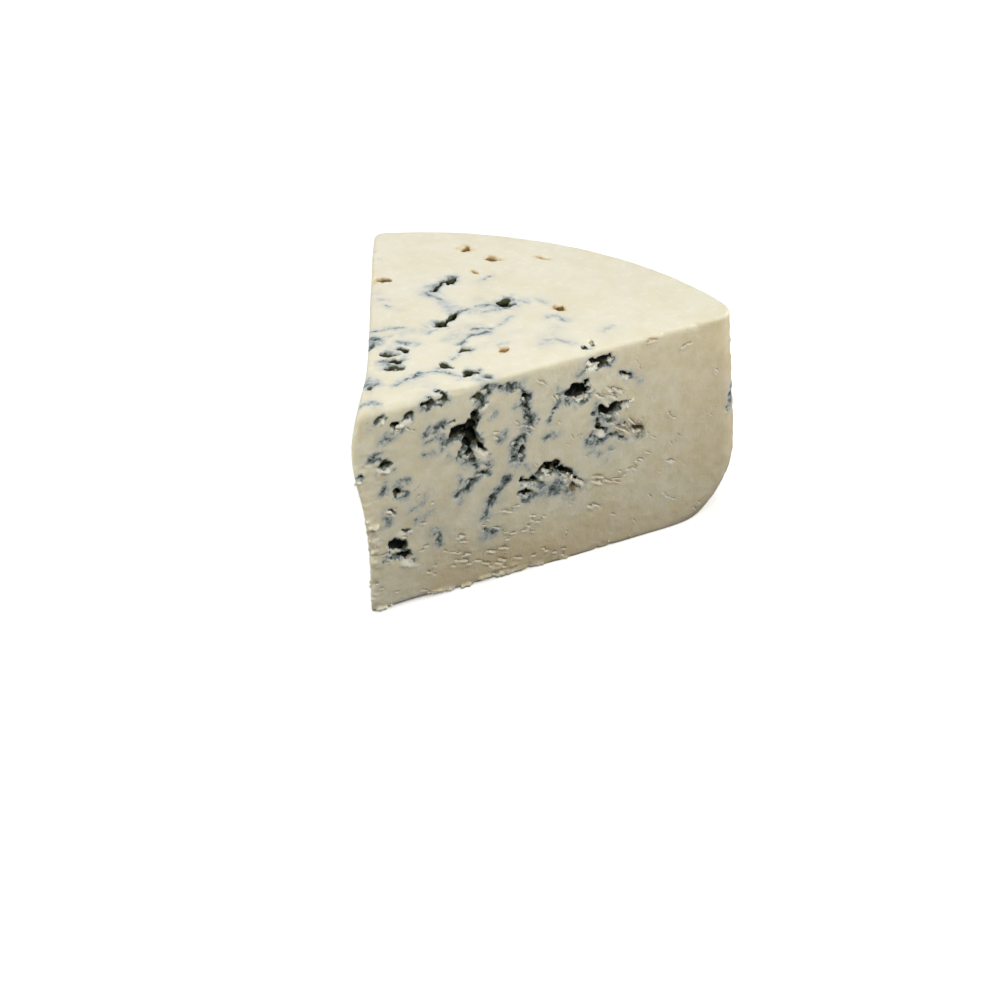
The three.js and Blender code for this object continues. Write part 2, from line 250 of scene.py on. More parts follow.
# Drawn by the same rule as in the solid, so the holes lie in the same places
def leftHoleRows():
    state = leftRule["seed"]
    rows = []
    for _ in range(leftRule["count"]):
        shares = []
        for _ in range(6):
            state = (state * 1664525 + 1013904223) % 2 ** 32
            shares.append(state / 2 ** 32)
        length = between(leftRule["length"], shares[0])
        along = between(leftRule["along"], shares[1])
        height = between((leftRule["foot"], wedge["height"] - length), shares[2])
        width = length * between(leftRule["slimness"], shares[3])
        depth = between(leftRule["depth"], shares[4])
        rows.append((along, height, length, width, depth, -between(leftRule["turn"], shares[5])))
    return rows


faceHoles = {"right": rightHoles, "left": leftHoleRows(), "slice": sliceHoles}

holeLook = {
    "tilt": math.radians(24),     # holes in the upright cuts run up into the paste
    "warp": 0.36, "warpSize": 2.2,
    "scoop": 1.25, "scoopSize": 2.3,         # broken walls: hollows with sharp ridges between them
    "fineScoop": 0.9, "fineScoopSize": 1.1,
    "jag": 0.7, "jagSize": 1.2,
    "calmWidth": 3,               # narrower holes are less ragged
    "reach": 2.0,
    "blend": 0.15,
    "firstSeed": {"right": 450, "left": 360, "slice": 450},
}


def holeFrame(face, row):
    along, across, out, origin = (np.array(v, float) for v in faceAxes[face])
    place = origin + along * row[0] + across * row[1]
    turn = math.radians(row[5])
    tilt = holeLook["tilt"] if face != "slice" else 0.0
    inward = out * math.cos(tilt) - across * math.sin(tilt)
    upInFace = across * math.cos(tilt) + out * math.sin(tilt)
    first = along * math.cos(turn) + upInFace * math.sin(turn)
    second = upInFace * math.cos(turn) - along * math.sin(turn)
    return place, np.array([first, second, inward])


def holeHalf(row):
    return np.array([row[2] / 2, row[3] / 2, row[4]])


# Distance to one ragged hole, negative inside it
def holeDistance(points, face, row, number):
    seed = holeLook["firstSeed"][face] + number
    rough = min(1.0, row[3] / holeLook["calmWidth"])
    place, axes = holeFrame(face, row)
    half = holeHalf(row)
    local = (points - place) @ axes.T
    sway = np.stack([lumps(points, holeLook["warpSize"], seed + k * 11) for k in range(3)], 1)
    jag = np.stack([lumps(points, holeLook["jagSize"], seed + 5 + k * 11) for k in range(3)], 1)
    local = local + sway * holeLook["warp"] * row[3] + jag * holeLook["jag"] * rough
    k0 = np.linalg.norm(local / half, axis=1)
    k1 = np.linalg.norm(local / half ** 2, axis=1) + 1e-6
    gap = k0 * (k0 - 1) / k1
    close = np.abs(gap) < holeLook["reach"]
    near = points[close]
    broken = holeLook["scoop"] * (curds(near, holeLook["scoopSize"], seed) - 0.5)
    broken += holeLook["fineScoop"] * (curds(near, holeLook["fineScoopSize"], seed + 3) - 0.5)
    gap[close] += broken * rough
    return gap


# Mould lines on each face: points, half width, strength
sliceVeins = [
    ([(-21, 70.5), (-23, 67.5), (-18, 67), (-16, 67)], 0.9, 0.55),
    ([(-8.5, 62), (-7, 66), (-4.5, 69.5), (0.5, 71.5)], 0.9, 0.5), ([(-10, 48), (-9, 52.5)], 0.6, 0.4),
    ([(-14, 50.5), (-11.5, 51)], 0.6, 0.4), ([(1.5, 47), (1.5, 53), (3.5, 55.5), (5, 57)], 0.7, 0.7),
    ([(0, 55.5), (2.5, 57.5), (5, 59.5)], 0.8, 0.6), ([(4.5, 38.5), (4.5, 43.5)], 0.5, 0.5),
    ([(-1.5, 17.5), (-0.5, 20), (0, 23.5), (1, 26), (3, 29), (7, 30.5), (11, 31)], 0.7, 0.6),
    ([(-24, 40.5), (-22, 42), (-21, 44.5), (-17.5, 47)], 0.8, 0.55),
    ([(-19.5, 37), (-18, 41.5)], 0.7, 0.4), ([(-29, 55.5), (-26.5, 55.5)], 0.6, 0.4),
    ([(-2.5, 66.5), (1, 69.5), (3.5, 72)], 0.6, 0.55), ([(6.5, 62), (6, 66), (6.5, 69)], 0.5, 0.4),
    ([(15.5, 73), (18, 75), (21, 74.5)], 1.1, 0.4), ([(22, 61), (24.5, 63), (28.5, 63.5)], 1.1, 0.4),
    ([(8.5, 81), (11, 80.5)], 0.6, 0.4), ([(33.5, 74), (34, 78.5)], 0.5, 0.4),
    ([(-10, 13), (-11, 17.5)], 0.9, 0.4), ([(-8, 16.5), (-5, 16)], 0.6, 0.4),
    ([(-15, 39), (-11.5, 40.5), (-8.5, 41)], 1.2, 0.4), ([(-12.5, 26.5), (-8.5, 26)], 1.2, 0.4),
    ([(-24.5, 71), (-23, 73), (-21.5, 77)], 0.9, 0.4), ([(4, 32), (7, 31)], 0.9, 0.4),
    ([(14.5, 31.5), (18.5, 32), (22.5, 32)], 0.9, 0.4), ([(-32, 58), (-30, 58.5)], 0.6, 0.4),
    ([(3.5, 78), (6.5, 78.5)], 0.6, 0.4), ([(-12, 82.5), (-11.5, 86)], 0.6, 0.4),
    ([(12, 52), (13, 54)], 0.6, 0.4),
]
rightVeins = [
    ([(18, 55), (20.5, 55.5), (23, 56.5), (25.5, 55.5)], 1.1, 0.65),
    ([(19, 52.5), (23, 52), (25.5, 50.5)], 1.1, 0.45),
    ([(33, 53.5), (34.5, 56), (36, 58.5), (36.5, 61), (37, 64)], 1.1, 0.85),
    ([(37, 64), (41, 64), (46.5, 62), (49, 61)], 1.0, 0.7),
    ([(49, 61), (50, 57), (50.5, 53), (52, 49.5), (51, 47), (49, 45)], 1.3, 0.85),
    ([(49, 45), (47, 43), (48.5, 39.5), (48, 37.5), (45.5, 37.5)], 1.3, 0.85),
    ([(44.5, 33), (42.5, 31), (40.5, 28.5), (39, 25.5), (37, 22)], 1.0, 0.85),
    ([(37, 37), (34.5, 35.5), (32, 35), (29.5, 33.5), (28, 32)], 1.1, 0.75),
    ([(30, 47), (30, 41.5), (34, 40.5), (38, 38.5)], 1.2, 0.55),
    ([(62, 53), (59.5, 50.5), (58, 47.5)], 0.5, 0.8), ([(8.5, 58), (6, 57), (4.5, 56)], 1.0, 0.6),
    ([(1, 50.5), (3, 51.5), (5, 52)], 0.8, 0.75), ([(15, 27.5), (17.5, 28.5), (19.5, 29)], 0.8, 0.6),
    ([(3, 45), (5.5, 45), (7.5, 45.5)], 0.6, 0.4), ([(9, 39.5), (10, 41.5), (12.5, 41.5)], 0.9, 0.48),
    ([(5, 31), (6, 28)], 1.1, 0.5), ([(19.5, 21), (21.5, 21), (22, 18)], 1.0, 0.6),
    ([(37, 15.5), (40, 16)], 1.4, 0.6), ([(70.5, 37), (74.5, 37), (79.5, 37), (83, 34.5)], 1.2, 0.65),
    ([(72, 33.5), (75, 33)], 0.9, 0.4), ([(73.5, 47.5), (73.5, 43.5), (74.5, 40.5)], 1.1, 0.6),
    ([(54.5, 29.5), (59, 26), (63, 26), (67, 23)], 1.5, 0.6),
    ([(52.5, 25), (57.5, 24), (62.5, 23), (65.5, 21)], 1.2, 0.5), ([(23, 48.5), (24.5, 50.5)], 0.6, 0.4),
    ([(25, 44.5), (25.5, 45.5)], 0.6, 0.4), ([(17, 48), (20.5, 47.5)], 0.8, 0.48),
    ([(41.5, 46.5), (44, 47.5)], 1.2, 0.48), ([(57, 42.5), (60, 42)], 1.2, 0.48),
    ([(16, 33), (17.5, 34.5)], 0.8, 0.48), ([(46.5, 56), (49, 54)], 1.1, 0.4),
    ([(1.5, 60.5), (2.5, 62.5)], 1.1, 0.4), ([(16.5, 64), (20.5, 64.5), (24.5, 64)], 1.2, 0.55),
    ([(10.5, 59.5), (13, 60.5)], 0.9, 0.4), ([(48.5, 36.5), (51.5, 33.5)], 0.9, 0.4),
    ([(77.5, 33.5), (80, 32.5)], 0.8, 0.4), ([(77, 30), (78, 30.5)], 0.6, 0.4),
    ([(40, 55.5), (38, 54)], 0.9, 0.4), ([(5.5, 41), (4.5, 39)], 0.9, 0.48),
    ([(14, 31.5), (12.5, 31)], 0.5, 0.48), ([(29, 37), (28.5, 29.5)], 0.6, 0.4),
    ([(75.5, 41.5), (79.5, 39), (82, 39.5)], 1.5, 0.5), ([(68.5, 60.5), (70.5, 62)], 1.1, 0.4),
    ([(62, 56), (60.5, 58)], 0.9, 0.4), ([(85, 56), (88.5, 52.5)], 0.6, 0.4),
    ([(119, 35.5), (119.5, 43)], 0.8, 0.55),
]
sliceWashes = [   # broad lilac clouds on the slice, stain only
    ([(-22, 70), (-16.5, 66.5), (-9, 62.5), (-5, 66.5)], 3.0, 0.85),
    ([(-6.5, 72), (0, 71), (3, 74)], 2.6, 0.48), ([(-16, 43), (-13.5, 47.5), (-9, 52)], 3.0, 0.48),
    ([(-2, 47.5), (-2, 55.5), (3, 58)], 3.2, 0.55), ([(7, 49), (12.5, 62.5)], 3.0, 0.25),
    ([(20.5, 69.5), (21.5, 58), (24, 63)], 3.2, 0.45), ([(-10, 25.5), (-9.5, 29.5), (-13, 33)], 4.0, 0.6),
    ([(0, 22), (6.5, 22.5)], 3.0, 0.35), ([(15, 74), (20, 75)], 2.4, 0.35),
    ([(-30, 57), (-24, 56)], 2.5, 0.3),
]
leftVeinRule = {   # veins start at the holes and at a few spare places
    "seed": 5, "spare": 16, "along": (3, 80), "height": (12, 64), "each": 2, "steps": (2, 5),
    "stride": (1.6, 4.0), "bend": (-0.8, 0.8), "width": (0.5, 1.4), "strength": (0.3, 0.85),
}


def leftVeins():
    draw = np.random.default_rng(leftVeinRule["seed"])
    starts = [(row[0], row[1]) for row in faceHoles["left"]]
    for _ in range(leftVeinRule["spare"]):
        starts.append((draw.uniform(*leftVeinRule["along"]), draw.uniform(*leftVeinRule["height"])))
    veins = []
    for start in starts:
        for _ in range(leftVeinRule["each"]):
            place = np.array(start, float)
            heading = draw.uniform(0, 2 * math.pi)
            line = [tuple(place)]
            for _ in range(int(draw.integers(*leftVeinRule["steps"]))):
                heading += draw.uniform(*leftVeinRule["bend"])
                step = np.array([math.cos(heading), math.sin(heading)])
                place = place + draw.uniform(*leftVeinRule["stride"]) * step
                line.append(tuple(place))
            width = draw.uniform(*leftVeinRule["width"])
            veins.append((line, width, draw.uniform(*leftVeinRule["strength"])))
    return veins


faceVeins = {"right": rightVeins, "left": leftVeins(), "slice": sliceVeins}

# Small pits strung along the stronger mould lines of the upright cuts
pitRule = {
    "seed": 29, "leastStrength": 0.5, "perLength": 0.5, "spread": 0.8, "swing": (-35, 35),
    "length": (0.9, 2.3), "slimness": (0.42, 0.75), "depth": (0.8, 1.6),
}


def pitRows(veins, draw):
    rows = []
    for line, width, strength in veins:
        if strength < pitRule["leastStrength"]:
            continue
        for a, b in zip(line[:-1], line[1:]):
            step = np.array(b, float) - np.array(a, float)
            for _ in range(draw.poisson(np.linalg.norm(step) * pitRule["perLength"] * strength)):
                spot = np.array(a) + step * draw.uniform() + draw.normal(0, width * pitRule["spread"], 2)
                length = draw.uniform(*pitRule["length"])
                turn = math.degrees(math.atan2(step[1], step[0])) + draw.uniform(*pitRule["swing"])
                rows.append((spot[0], spot[1], length, length * draw.uniform(*pitRule["slimness"]),
                             draw.uniform(*pitRule["depth"]), turn))
    return rows


pitDraw = np.random.default_rng(pitRule["seed"])
facePits = {face: pitRows(faceVeins[face], pitDraw) for face in ("right", "left")}
facePits["slice"] = []

# Broken plates of paste: on the lower lips of the holes, along the tip edge and at the foot
plateLook = {
    "scoop": 0.5, "scoopSize": 1.2, "outline": 1.4, "edge": 4.0, "reach": 0.6,
    "edgeSeed": 20, "holeSeed": 60,
}
lipRule = {
    "seed": 17, "perLength": 0.2, "around": (205, 335), "length": (0.7, 1.6), "thick": (0.24, 0.38),
    "rise": (0.45, 1.0), "sink": (0.1, 1.2), "lean": (0, 70), "twist": (-40, 40), "inset": 0.95,
}
tipLedges = [   # height, half length, half thickness, how far it stands out
    (28.3, 1.9, 0.6, 0.25), (30.4, 1.1, 0.4, 0.15),
]
ledgeLook = {
    "inset": 0.75, "back": 0.8, "depth": 0.7,    # in half lengths
    "outline": 1.8, "scoop": 0.8,
}
footFlakes = [   # along the right cut, height, length, thickness
    (3.5, 1.0, 3.2, 1.0), (21.5, 1.3, 4.4, 1.1), (26, 0.7, 3, 1.0), (31, 0.6, 4, 1.0), (37, 1.5, 4, 1.1),
    (41, 3.6, 4.5, 1.2), (44, 0.9, 7, 1.5), (46.5, 3.1, 4, 1.2), (49, 1.0, 4, 1.4), (55, 0.5, 3, 0.8),
    (63, 0.4, 3, 0.7),
]
footLook = {"sink": 0.15, "depth": 0.7, "outline": 3.0}
handFlakes = [   # pale leaves on the right cut: along, height, half length, half rise, turn
    (35.7, 43.4, 2.5, 1.1, -45), (37.3, 38.4, 1.7, 0.6, -35), (57.2, 29.0, 2.0, 0.8, -20),
    (49.6, 28.4, 1.7, 0.75, -16), (53, 26.8, 1.2, 0.85, -30), (68.1, 24.5, 3.2, 0.8, -30),
    (71.1, 62.6, 1.3, 0.9, -40), (71.2, 60.4, 1.4, 0.5, -16), (76.9, 48, 2.2, 0.9, -48),
    (75.4, 38.3, 1.5, 0.6, -10), (10.4, 59.4, 2.2, 0.8, 10), (12.6, 13.4, 3.8, 1.5, -20),
    (6.5, 31.9, 0.9, 0.5, -16), (5.6, 45.6, 1.4, 0.7, -10), (7.2, 21.4, 1.0, 0.8, -30),
    (9.9, 23.7, 1.2, 0.7, -20),
]
flakeLook = {"lean": math.radians(32), "thick": 0.38, "sink": 0.3, "scoop": 0.3}


def flakePlates():
    along, up, out = (np.array(v, float) for v in faceAxes["right"][:3])
    plates = []
    for reach, height, length, rise, turn in handFlakes:
        turn = math.radians(turn)
        first = along * math.cos(turn) + up * math.sin(turn)
        above = up * math.cos(turn) - along * math.sin(turn)
        second = above * math.cos(flakeLook["lean"]) - out * math.sin(flakeLook["lean"])
        plates.append({"place": along * reach + up * height - out * flakeLook["sink"],
                       "half": np.array([length, rise, flakeLook["thick"]]),
                       "axes": np.array([first, second, np.cross(first, second)]),
                       "scoop": flakeLook["scoop"]})
    return plates


def lipPlates(face, row, draw):
    out = np.array(faceAxes[face][2], float)
    place, axes = holeFrame(face, row)
    plates = []
    for _ in range(1 + int(row[2] * lipRule["perLength"])):
        around = math.radians(draw.uniform(*lipRule["around"])) - math.radians(row[5])
        spoke = axes[0] * math.cos(around) * row[2] / 2 + axes[1] * math.sin(around) * row[3] / 2
        tangent = -axes[0] * math.sin(around) * row[2] / 2 + axes[1] * math.cos(around) * row[3] / 2
        tangent /= np.linalg.norm(tangent)
        twist = math.radians(draw.uniform(*lipRule["twist"]))
        inward = -spoke / np.linalg.norm(spoke)
        tangent = tangent * math.cos(twist) + inward * math.sin(twist)
        lean = math.radians(draw.uniform(*lipRule["lean"]))
        stand = out * math.cos(lean) + inward * math.sin(lean)
        stand -= tangent * (stand @ tangent)
        stand /= np.linalg.norm(stand)
        half = np.array([draw.uniform(*lipRule["length"]), draw.uniform(*lipRule["rise"]),
                         draw.uniform(*lipRule["thick"])])
        sink = draw.uniform(*lipRule["sink"])
        plates.append({"place": place + spoke * lipRule["inset"] - out * sink, "half": half,
                       "axes": np.array([tangent, stand, np.cross(tangent, stand)])})
    return plates


def edgePlates():
    plates = []
    along, up, out = (np.array(v, float) for v in faceAxes["right"][:3])
    side = np.array(faceAxes["left"][2], float)
    for height, length, thick, stands in tipLedges:
        lean = float(tipSwell(np.float64(height)))
        place = side * (lean + stands - ledgeLook["inset"] * length) + up * height
        place[1] += ledgeLook["back"] * length
        plates.append({"place": place, "half": np.array([length, thick, ledgeLook["depth"] * length]),
                       "axes": np.array([side, up, np.cross(side, up)]),
                       "outline": ledgeLook["outline"], "scoop": ledgeLook["scoop"]})
    for reach, height, length, thick in footFlakes:
        place = along * reach + up * height - out * footLook["sink"]
        plates.append({"place": place, "half": np.array([length / 2, thick / 2, footLook["depth"]]),
                       "axes": np.array([along, up, out]), "outline": footLook["outline"]})
    return plates


# Plates that would hang in the middle of another hole are left out
def allLipPlates():
    draw = np.random.default_rng(lipRule["seed"])
    kept = []
    for face in ("right", "left"):
        rows = faceHoles[face]
        frames = [(holeFrame(face, row), holeHalf(row)) for row in rows]
        for number, row in enumerate(rows):
            for plate in lipPlates(face, row, draw):
                inside = [np.linalg.norm((axes @ (plate["place"] - place)) / half) < lipRule["inset"]
                          for k, ((place, axes), half) in enumerate(frames) if k != number]
                if not any(inside):
                    kept.append(plate)
    return kept


holePlates = flakePlates() + allLipPlates()


def plateDistance(points, plate, seed):
    local = (points - plate["place"]) @ plate["axes"].T
    outline, edge, scoop = (plate.get(key, plateLook[key]) for key in ("outline", "edge", "scoop"))
    share = np.abs(local) / plate["half"]
    flat = (share[:, 0] ** outline + share[:, 1] ** outline) ** (1 / outline)
    gap = ((flat ** edge + share[:, 2] ** edge) ** (1 / edge) - 1) * plate["half"].min()
    return gap + scoop * (curds(points, plateLook["scoopSize"], seed) - 0.5)


# Small torn crescents, pulled by the knife: rows of along, across, length, width, depth, turn
tearRule = {
    "right": [
        # groups, along range, height range, length, width, depth, turn range
        (24, (3, 66), (3, 26), (1.4, 4.0), (0.5, 0.8), (0.2, 0.46), (-24, -6)),
        (30, (56, 112), (6, 63), (1.0, 2.8), (0.42, 0.65), (0.12, 0.32), (-58, -20)),
        (8, (2, 60), (28, 64), (1.0, 2.4), (0.5, 0.75), (0.16, 0.38), (-50, -5)),
    ],
    "left": [
        (30, (4, 112), (3, 28), (1.4, 4.0), (0.5, 0.8), (0.2, 0.46), (-18, 18)),
        (30, (4, 112), (28, 63), (1.0, 3.0), (0.45, 0.7), (0.14, 0.38), (-50, -10)),
    ],
    "seed": 23,
    "group": (1, 4),             # each group is a few tears, one under the other
    "step": (0.9, 2.0),
    "shift": (-1, 1), "share": (0.6, 1.1), "swing": (-9, 9),
    "handGroup": 3,              # the larger ones are broken into this many
    "handShift": (-0.45, 0.45), "handStep": (-1.1, 1.1), "handSwing": (-12, 12),
    "handLength": (0.35, 0.75), "handWidth": (0.5, 0.8), "handDepth": (0.6, 1.0),
}
handTears = [
    (46, 22.5, 7, 1.05, 0.5, -16), (28, 17, 5, 1.2, 0.5, -22), (41, 10, 5.5, 1.05, 0.45, -14),
    (40, 6, 7, 1.35, 0.5, -18), (73, 15.5, 5, 1.05, 0.4, -40), (77, 24, 7, 1.12, 0.5, -24),
    (79, 22.3, 6, 0.98, 0.45, -26), (84, 39, 8, 1.12, 0.55, -42), (86.5, 37.5, 7, 0.98, 0.5, -44),
    (93, 65, 4.5, 1.12, 0.45, -20), (103, 60, 4.5, 0.98, 0.4, -5), (78, 50.5, 7, 1.2, 0.55, -34),
    (80, 52, 6, 1.05, 0.45, -38), (76, 51.5, 5, 1.05, 0.45, -30), (51, 47, 6, 0.98, 0.45, -42),
    (49, 49.5, 5, 0.9, 0.4, -36), (56, 61, 5, 0.9, 0.4, -45), (59, 55, 5, 0.9, 0.35, -60),
    (86, 24, 4, 0.98, 0.35, -40), (90, 27, 5, 0.9, 0.35, -36), (98, 23, 4.5, 0.9, 0.35, -42),
]
tanTears = {3, 5, 6, 7, 8, 9}     # of handTears: these show a little tan


def tearRows(face):
    draw = np.random.default_rng(tearRule["seed"] + (face == "left"))

    def pick(key):
        return draw.uniform(*tearRule[key])

    rows = []
    for along, height, length, width, depth, turn in handTears if face == "right" else []:
        for _ in range(tearRule["handGroup"]):
            rows.append((along + pick("handShift") * length, height + pick("handStep"),
                         length * pick("handLength"), width * pick("handWidth"),
                         depth * pick("handDepth"), turn + pick("handSwing")))
    for count, *ranges in tearRule[face]:
        for _ in range(count):
            along, height, length, width, depth, turn = (draw.uniform(*r) for r in ranges)
            for _ in range(int(draw.integers(*tearRule["group"]))):
                rows.append((along + pick("shift") * length, height, length * pick("share"),
                             width, depth * pick("share"), turn + pick("swing")))
                height -= pick("step")
    return rows


# Place along a tear in half lengths and across it in widths, positive above
def tearPlace(along, across, row):
    turn = math.radians(row[5])
    a, b = along - row[0], across - row[1]
    u = a * math.cos(turn) + b * math.sin(turn)
    v = b * math.cos(turn) - a * math.sin(turn)
    return 2 * u / row[2], v / row[3]


# Points on a face near one tear
def nearTear(near, along, across, row):
    return near[(np.abs(along[near] - row[0]) < row[2]) & (np.abs(across[near] - row[1]) < row[2])]


# A tear from above: a steep drop, a slope that faces up, a low lip that fades out
tearLook = {
    "drop": (0.6, 0.1), "climb": (0.1, -0.6), "fade": (-0.6, -1.6), "lip": 0.5, "curve": 0.15,
    "ragSize": 1.1, "fineRagSize": 0.7, "fineRag": 0.6, "ragAlong": 0.3, "ragAcross": 0.45,
}


def tearRise(points, along, across, row):
    look = tearLook
    u, v = tearPlace(along, across, row)
    ragged = lumps(points, look["ragSize"], 14) + look["fineRag"] * lumps(points, look["fineRagSize"], 15)
    u, v = u + look["ragAlong"] * ragged, v + look["ragAcross"] * ragged + look["curve"] * u * u
    profile = -ease(*look["drop"], v) + (1 + look["lip"]) * ease(*look["climb"], v)
    profile -= look["lip"] * ease(*look["fade"], v)
    return row[4] * np.maximum(1 - u * u, 0) * profile


# Pairs named for a form are its size and height, those named Fade or Patch run from none of it to all
relief = {
    "sliceFade": (2.5, 0.5), "rimFade": (2.5, 0.6), "footFade": (1.4, 0.3),
    "broad": (16.0, 0.2), "broadOnSlice": 0.6,
    "hump": (6.5, 0.05),
    "grain": (1.9, 0.03), "grainOnSlice": 0.45,
    "drag": (1.6, 0.06), "dragStretch": 3.4, "dragSlope": 0.28, "dragFade": (34, 12), "dragAbove": 0.25,
    "rindWrinkle": (5.0, 0.42), "wrinkleMiddle": 0.35, "rindFade": (1.0, 9.0),
    "rindPit": (1.7, 0.16), "pitPatch": (0.2, 0.7),
    "footBite": (1.9, 0.8), "biteSpread": 5.0, "biteFade": (2.6, 0.4), "bitePatch": (0.5, 0.2),
    "biteSpreadPatch": (0.0, 0.5),
    "footWear": (8, 0.6), "wearAlong": 14, "wearDepth": 3, "wearFade": (2.2, 0.3),
    "edgeNick": (3.2, 0.9), "nickFade": (2.5, 0.3), "nickPatch": (0.25, 0.8), "nickOnRight": 0.5,
    "tipTear": (1.5, 0.95), "tipFade": (4.0, 0.8), "tipTopFade": (62, 44), "tipFlat": (0.6, 0.6, 1.0),
    "tipMiddle": 0.35, "tipCurd": (1.3, 0.6), "tipSpread": 4.0, "tipPatch": (-0.3, 0.4), "tipLeast": 0.3,
    "rimClear": 2,               # nothing is chipped this near to the rim
}


# Fine relief of every face, as a push outwards
def surfaceRelief(points):
    x, y, z = points[:, 0], points[:, 1], points[:, 2]
    rightAlong, _, rightOut = faceCoordinates("right", x, y, z)
    leftOut = faceCoordinates("left", x, y, z)[2]
    rim = rimDistance(x, y, z)
    belowSlice = wedge["height"] - z
    onSlice = ease(*relief["sliceFade"], belowSlice)
    onRim = ease(*relief["rimFade"], -rim)
    onFoot = ease(*relief["footFade"], z) * (1 - onRim)
    onCut = (1 - onSlice) * (1 - onRim) * (1 - onFoot)

    size, height = relief["broad"]
    push = height * lumps(points, size, 1) * (1 - (1 - relief["broadOnSlice"]) * onSlice)
    size, height = relief["hump"]
    push += height * lumps(points, size, 2)
    size, height = relief["grain"]
    push += height * layered(points, size, 3, 2) * (onCut + relief["grainOnSlice"] * onSlice)

    # knife drag, strongest low on the cuts
    size, height = relief["drag"]
    slope = z + relief["dragSlope"] * rightAlong
    drawn = np.stack([rightAlong / relief["dragStretch"], rightOut + leftOut, slope], 1)
    low = relief["dragAbove"] + (1 - relief["dragAbove"]) * ease(*relief["dragFade"], z)
    push += height * layered(drawn.astype(np.float32), size, 4, 2) * onCut * low

    # rind
    onRind = ease(*relief["rindFade"], belowSlice)
    size, height = relief["rindWrinkle"]
    wrinkle = np.abs(layered(points, size, 5, 3))
    push += height * (relief["wrinkleMiddle"] - wrinkle) * onRim * onRind
    size, height = relief["rindPit"]
    push -= height * ease(*relief["pitPatch"], lumps(points, size, 6)) * onRim * onRind

    # chipped foot, worn near the tip
    inRim = rim < -relief["rimClear"]
    atFoot = np.nonzero((z < relief["biteFade"][0]) & inRim)[0]
    size, height = relief["footBite"]
    bitten = ease(*relief["bitePatch"], curds(points[atFoot], size, 8))
    bitten = bitten * ease(*relief["biteSpreadPatch"], lumps(points[atFoot], relief["biteSpread"], 8))
    push[atFoot] -= height * bitten * ease(*relief["biteFade"], z[atFoot])
    size, height = relief["footWear"]
    worn = np.exp(-((rightAlong[atFoot] - relief["wearAlong"]) / size) ** 2)
    worn = worn * (rightOut[atFoot] > -relief["wearDepth"])
    push[atFoot] -= height * worn * ease(*relief["wearFade"], z[atFoot])

    # nicks along the edge of the slice
    band = relief["nickFade"][0]
    inCut = -np.maximum(leftOut, rightOut)
    atEdge = np.nonzero((z > wedge["height"] - band) & (inCut < band) & inRim)[0]
    size, height = relief["edgeNick"]
    corner = ease(*relief["nickFade"], belowSlice[atEdge]) * ease(*relief["nickFade"], inCut[atEdge])
    nick = ease(*relief["nickPatch"], layered(points[atEdge], size, 11, 2))
    nick = nick * np.where(leftOut[atEdge] > -band, 1.0, relief["nickOnRight"])
    push[atEdge] -= height * corner * nick

    # torn tip edge
    band, top = relief["tipFade"][0], relief["tipTopFade"][0]
    atTip = np.nonzero((leftOut > -band) & (rightOut > -band) & (z < top))[0]
    size, height = relief["tipTear"]
    curdSize, curdShare = relief["tipCurd"]
    nearTip = ease(*relief["tipFade"], -leftOut[atTip]) * ease(*relief["tipFade"], -rightOut[atTip])
    stacked = points[atTip] * np.array(relief["tipFlat"], np.float32)
    torn = np.abs(layered(stacked, size, 9, 2)) - relief["tipMiddle"]
    torn = torn + curdShare * (curds(points[atTip], curdSize, 9) - 0.5)
    places = ease(*relief["tipPatch"], lumps(points[atTip], relief["tipSpread"], 13))
    places = relief["tipLeast"] + (1 - relief["tipLeast"]) * places
    push[atTip] -= height * torn * nearTip * places * ease(*relief["tipTopFade"], z[atTip])
    return push


def buildField():
    step, margin = wedge["voxel"], wedge["margin"]
    low = np.array(wedge["boxLow"]) - margin
    high = np.array(wedge["boxHigh"]) + margin
    counts = np.ceil((high - low) / step).astype(int) + 1
    axes = [(low[k] + step * np.arange(counts[k])).astype(np.float32) for k in range(3)]
    x, y, z = axes[0][:, None, None], axes[1][None, :, None], axes[2][None, None, :]
    field = plainWedge(x, y, z).astype(np.float32)
    print("plain field", field.shape)

    band = np.abs(field) < wedge["band"]
    where = np.nonzero(band)
    points = np.stack([axes[k][where[k]] for k in range(3)], 1)
    push = surfaceRelief(points)
    for face in ("right", "left"):
        along, across, out = faceCoordinates(face, points[:, 0], points[:, 1], points[:, 2])
        near = np.nonzero(np.abs(out) < wedge["band"])[0]
        for row in tearRows(face):
            close = nearTear(near, along, across, row)
            push[close] += tearRise(points[close], along[close], across[close], row)
    field[where] -= push
    print("relief", len(points))

    def window(place, reach):
        first = np.clip(np.floor((place - reach - low) / step).astype(int), 0, counts - 1)
        last = np.clip(np.ceil((place + reach - low) / step).astype(int) + 1, 1, counts)
        return tuple(slice(a, b) for a, b in zip(first, last))

    def windowPoints(span):
        grids = np.meshgrid(*[axes[k][span[k]] for k in range(3)], indexing="ij")
        return np.stack([g.ravel() for g in grids], 1)

    def addPlates(plates, firstSeed):
        for number, plate in enumerate(plates):
            span = window(plate["place"], np.linalg.norm(plate["half"]) + plateLook["reach"])
            part = field[span]
            gap = plateDistance(windowPoints(span), plate, firstSeed + number)
            field[span] = np.minimum(part, gap.reshape(part.shape))

    addPlates(edgePlates(), plateLook["edgeSeed"])
    for face in faceHoles:
        for number, row in enumerate(faceHoles[face] + facePits[face]):
            place, _ = holeFrame(face, row)
            span = window(place, max(row[2] / 2, row[4]) + 1.2)
            part = field[span]
            hole = holeDistance(windowPoints(span), face, row, number)
            field[span] = roundedMax(part, -hole.reshape(part.shape), holeLook["blend"])
    print("holes cut")
    addPlates(holePlates, plateLook["holeSeed"])
    print("plates added", len(holePlates))
    np.maximum(field, -z, out=field)     # the foot stays flat
    return field, low, step


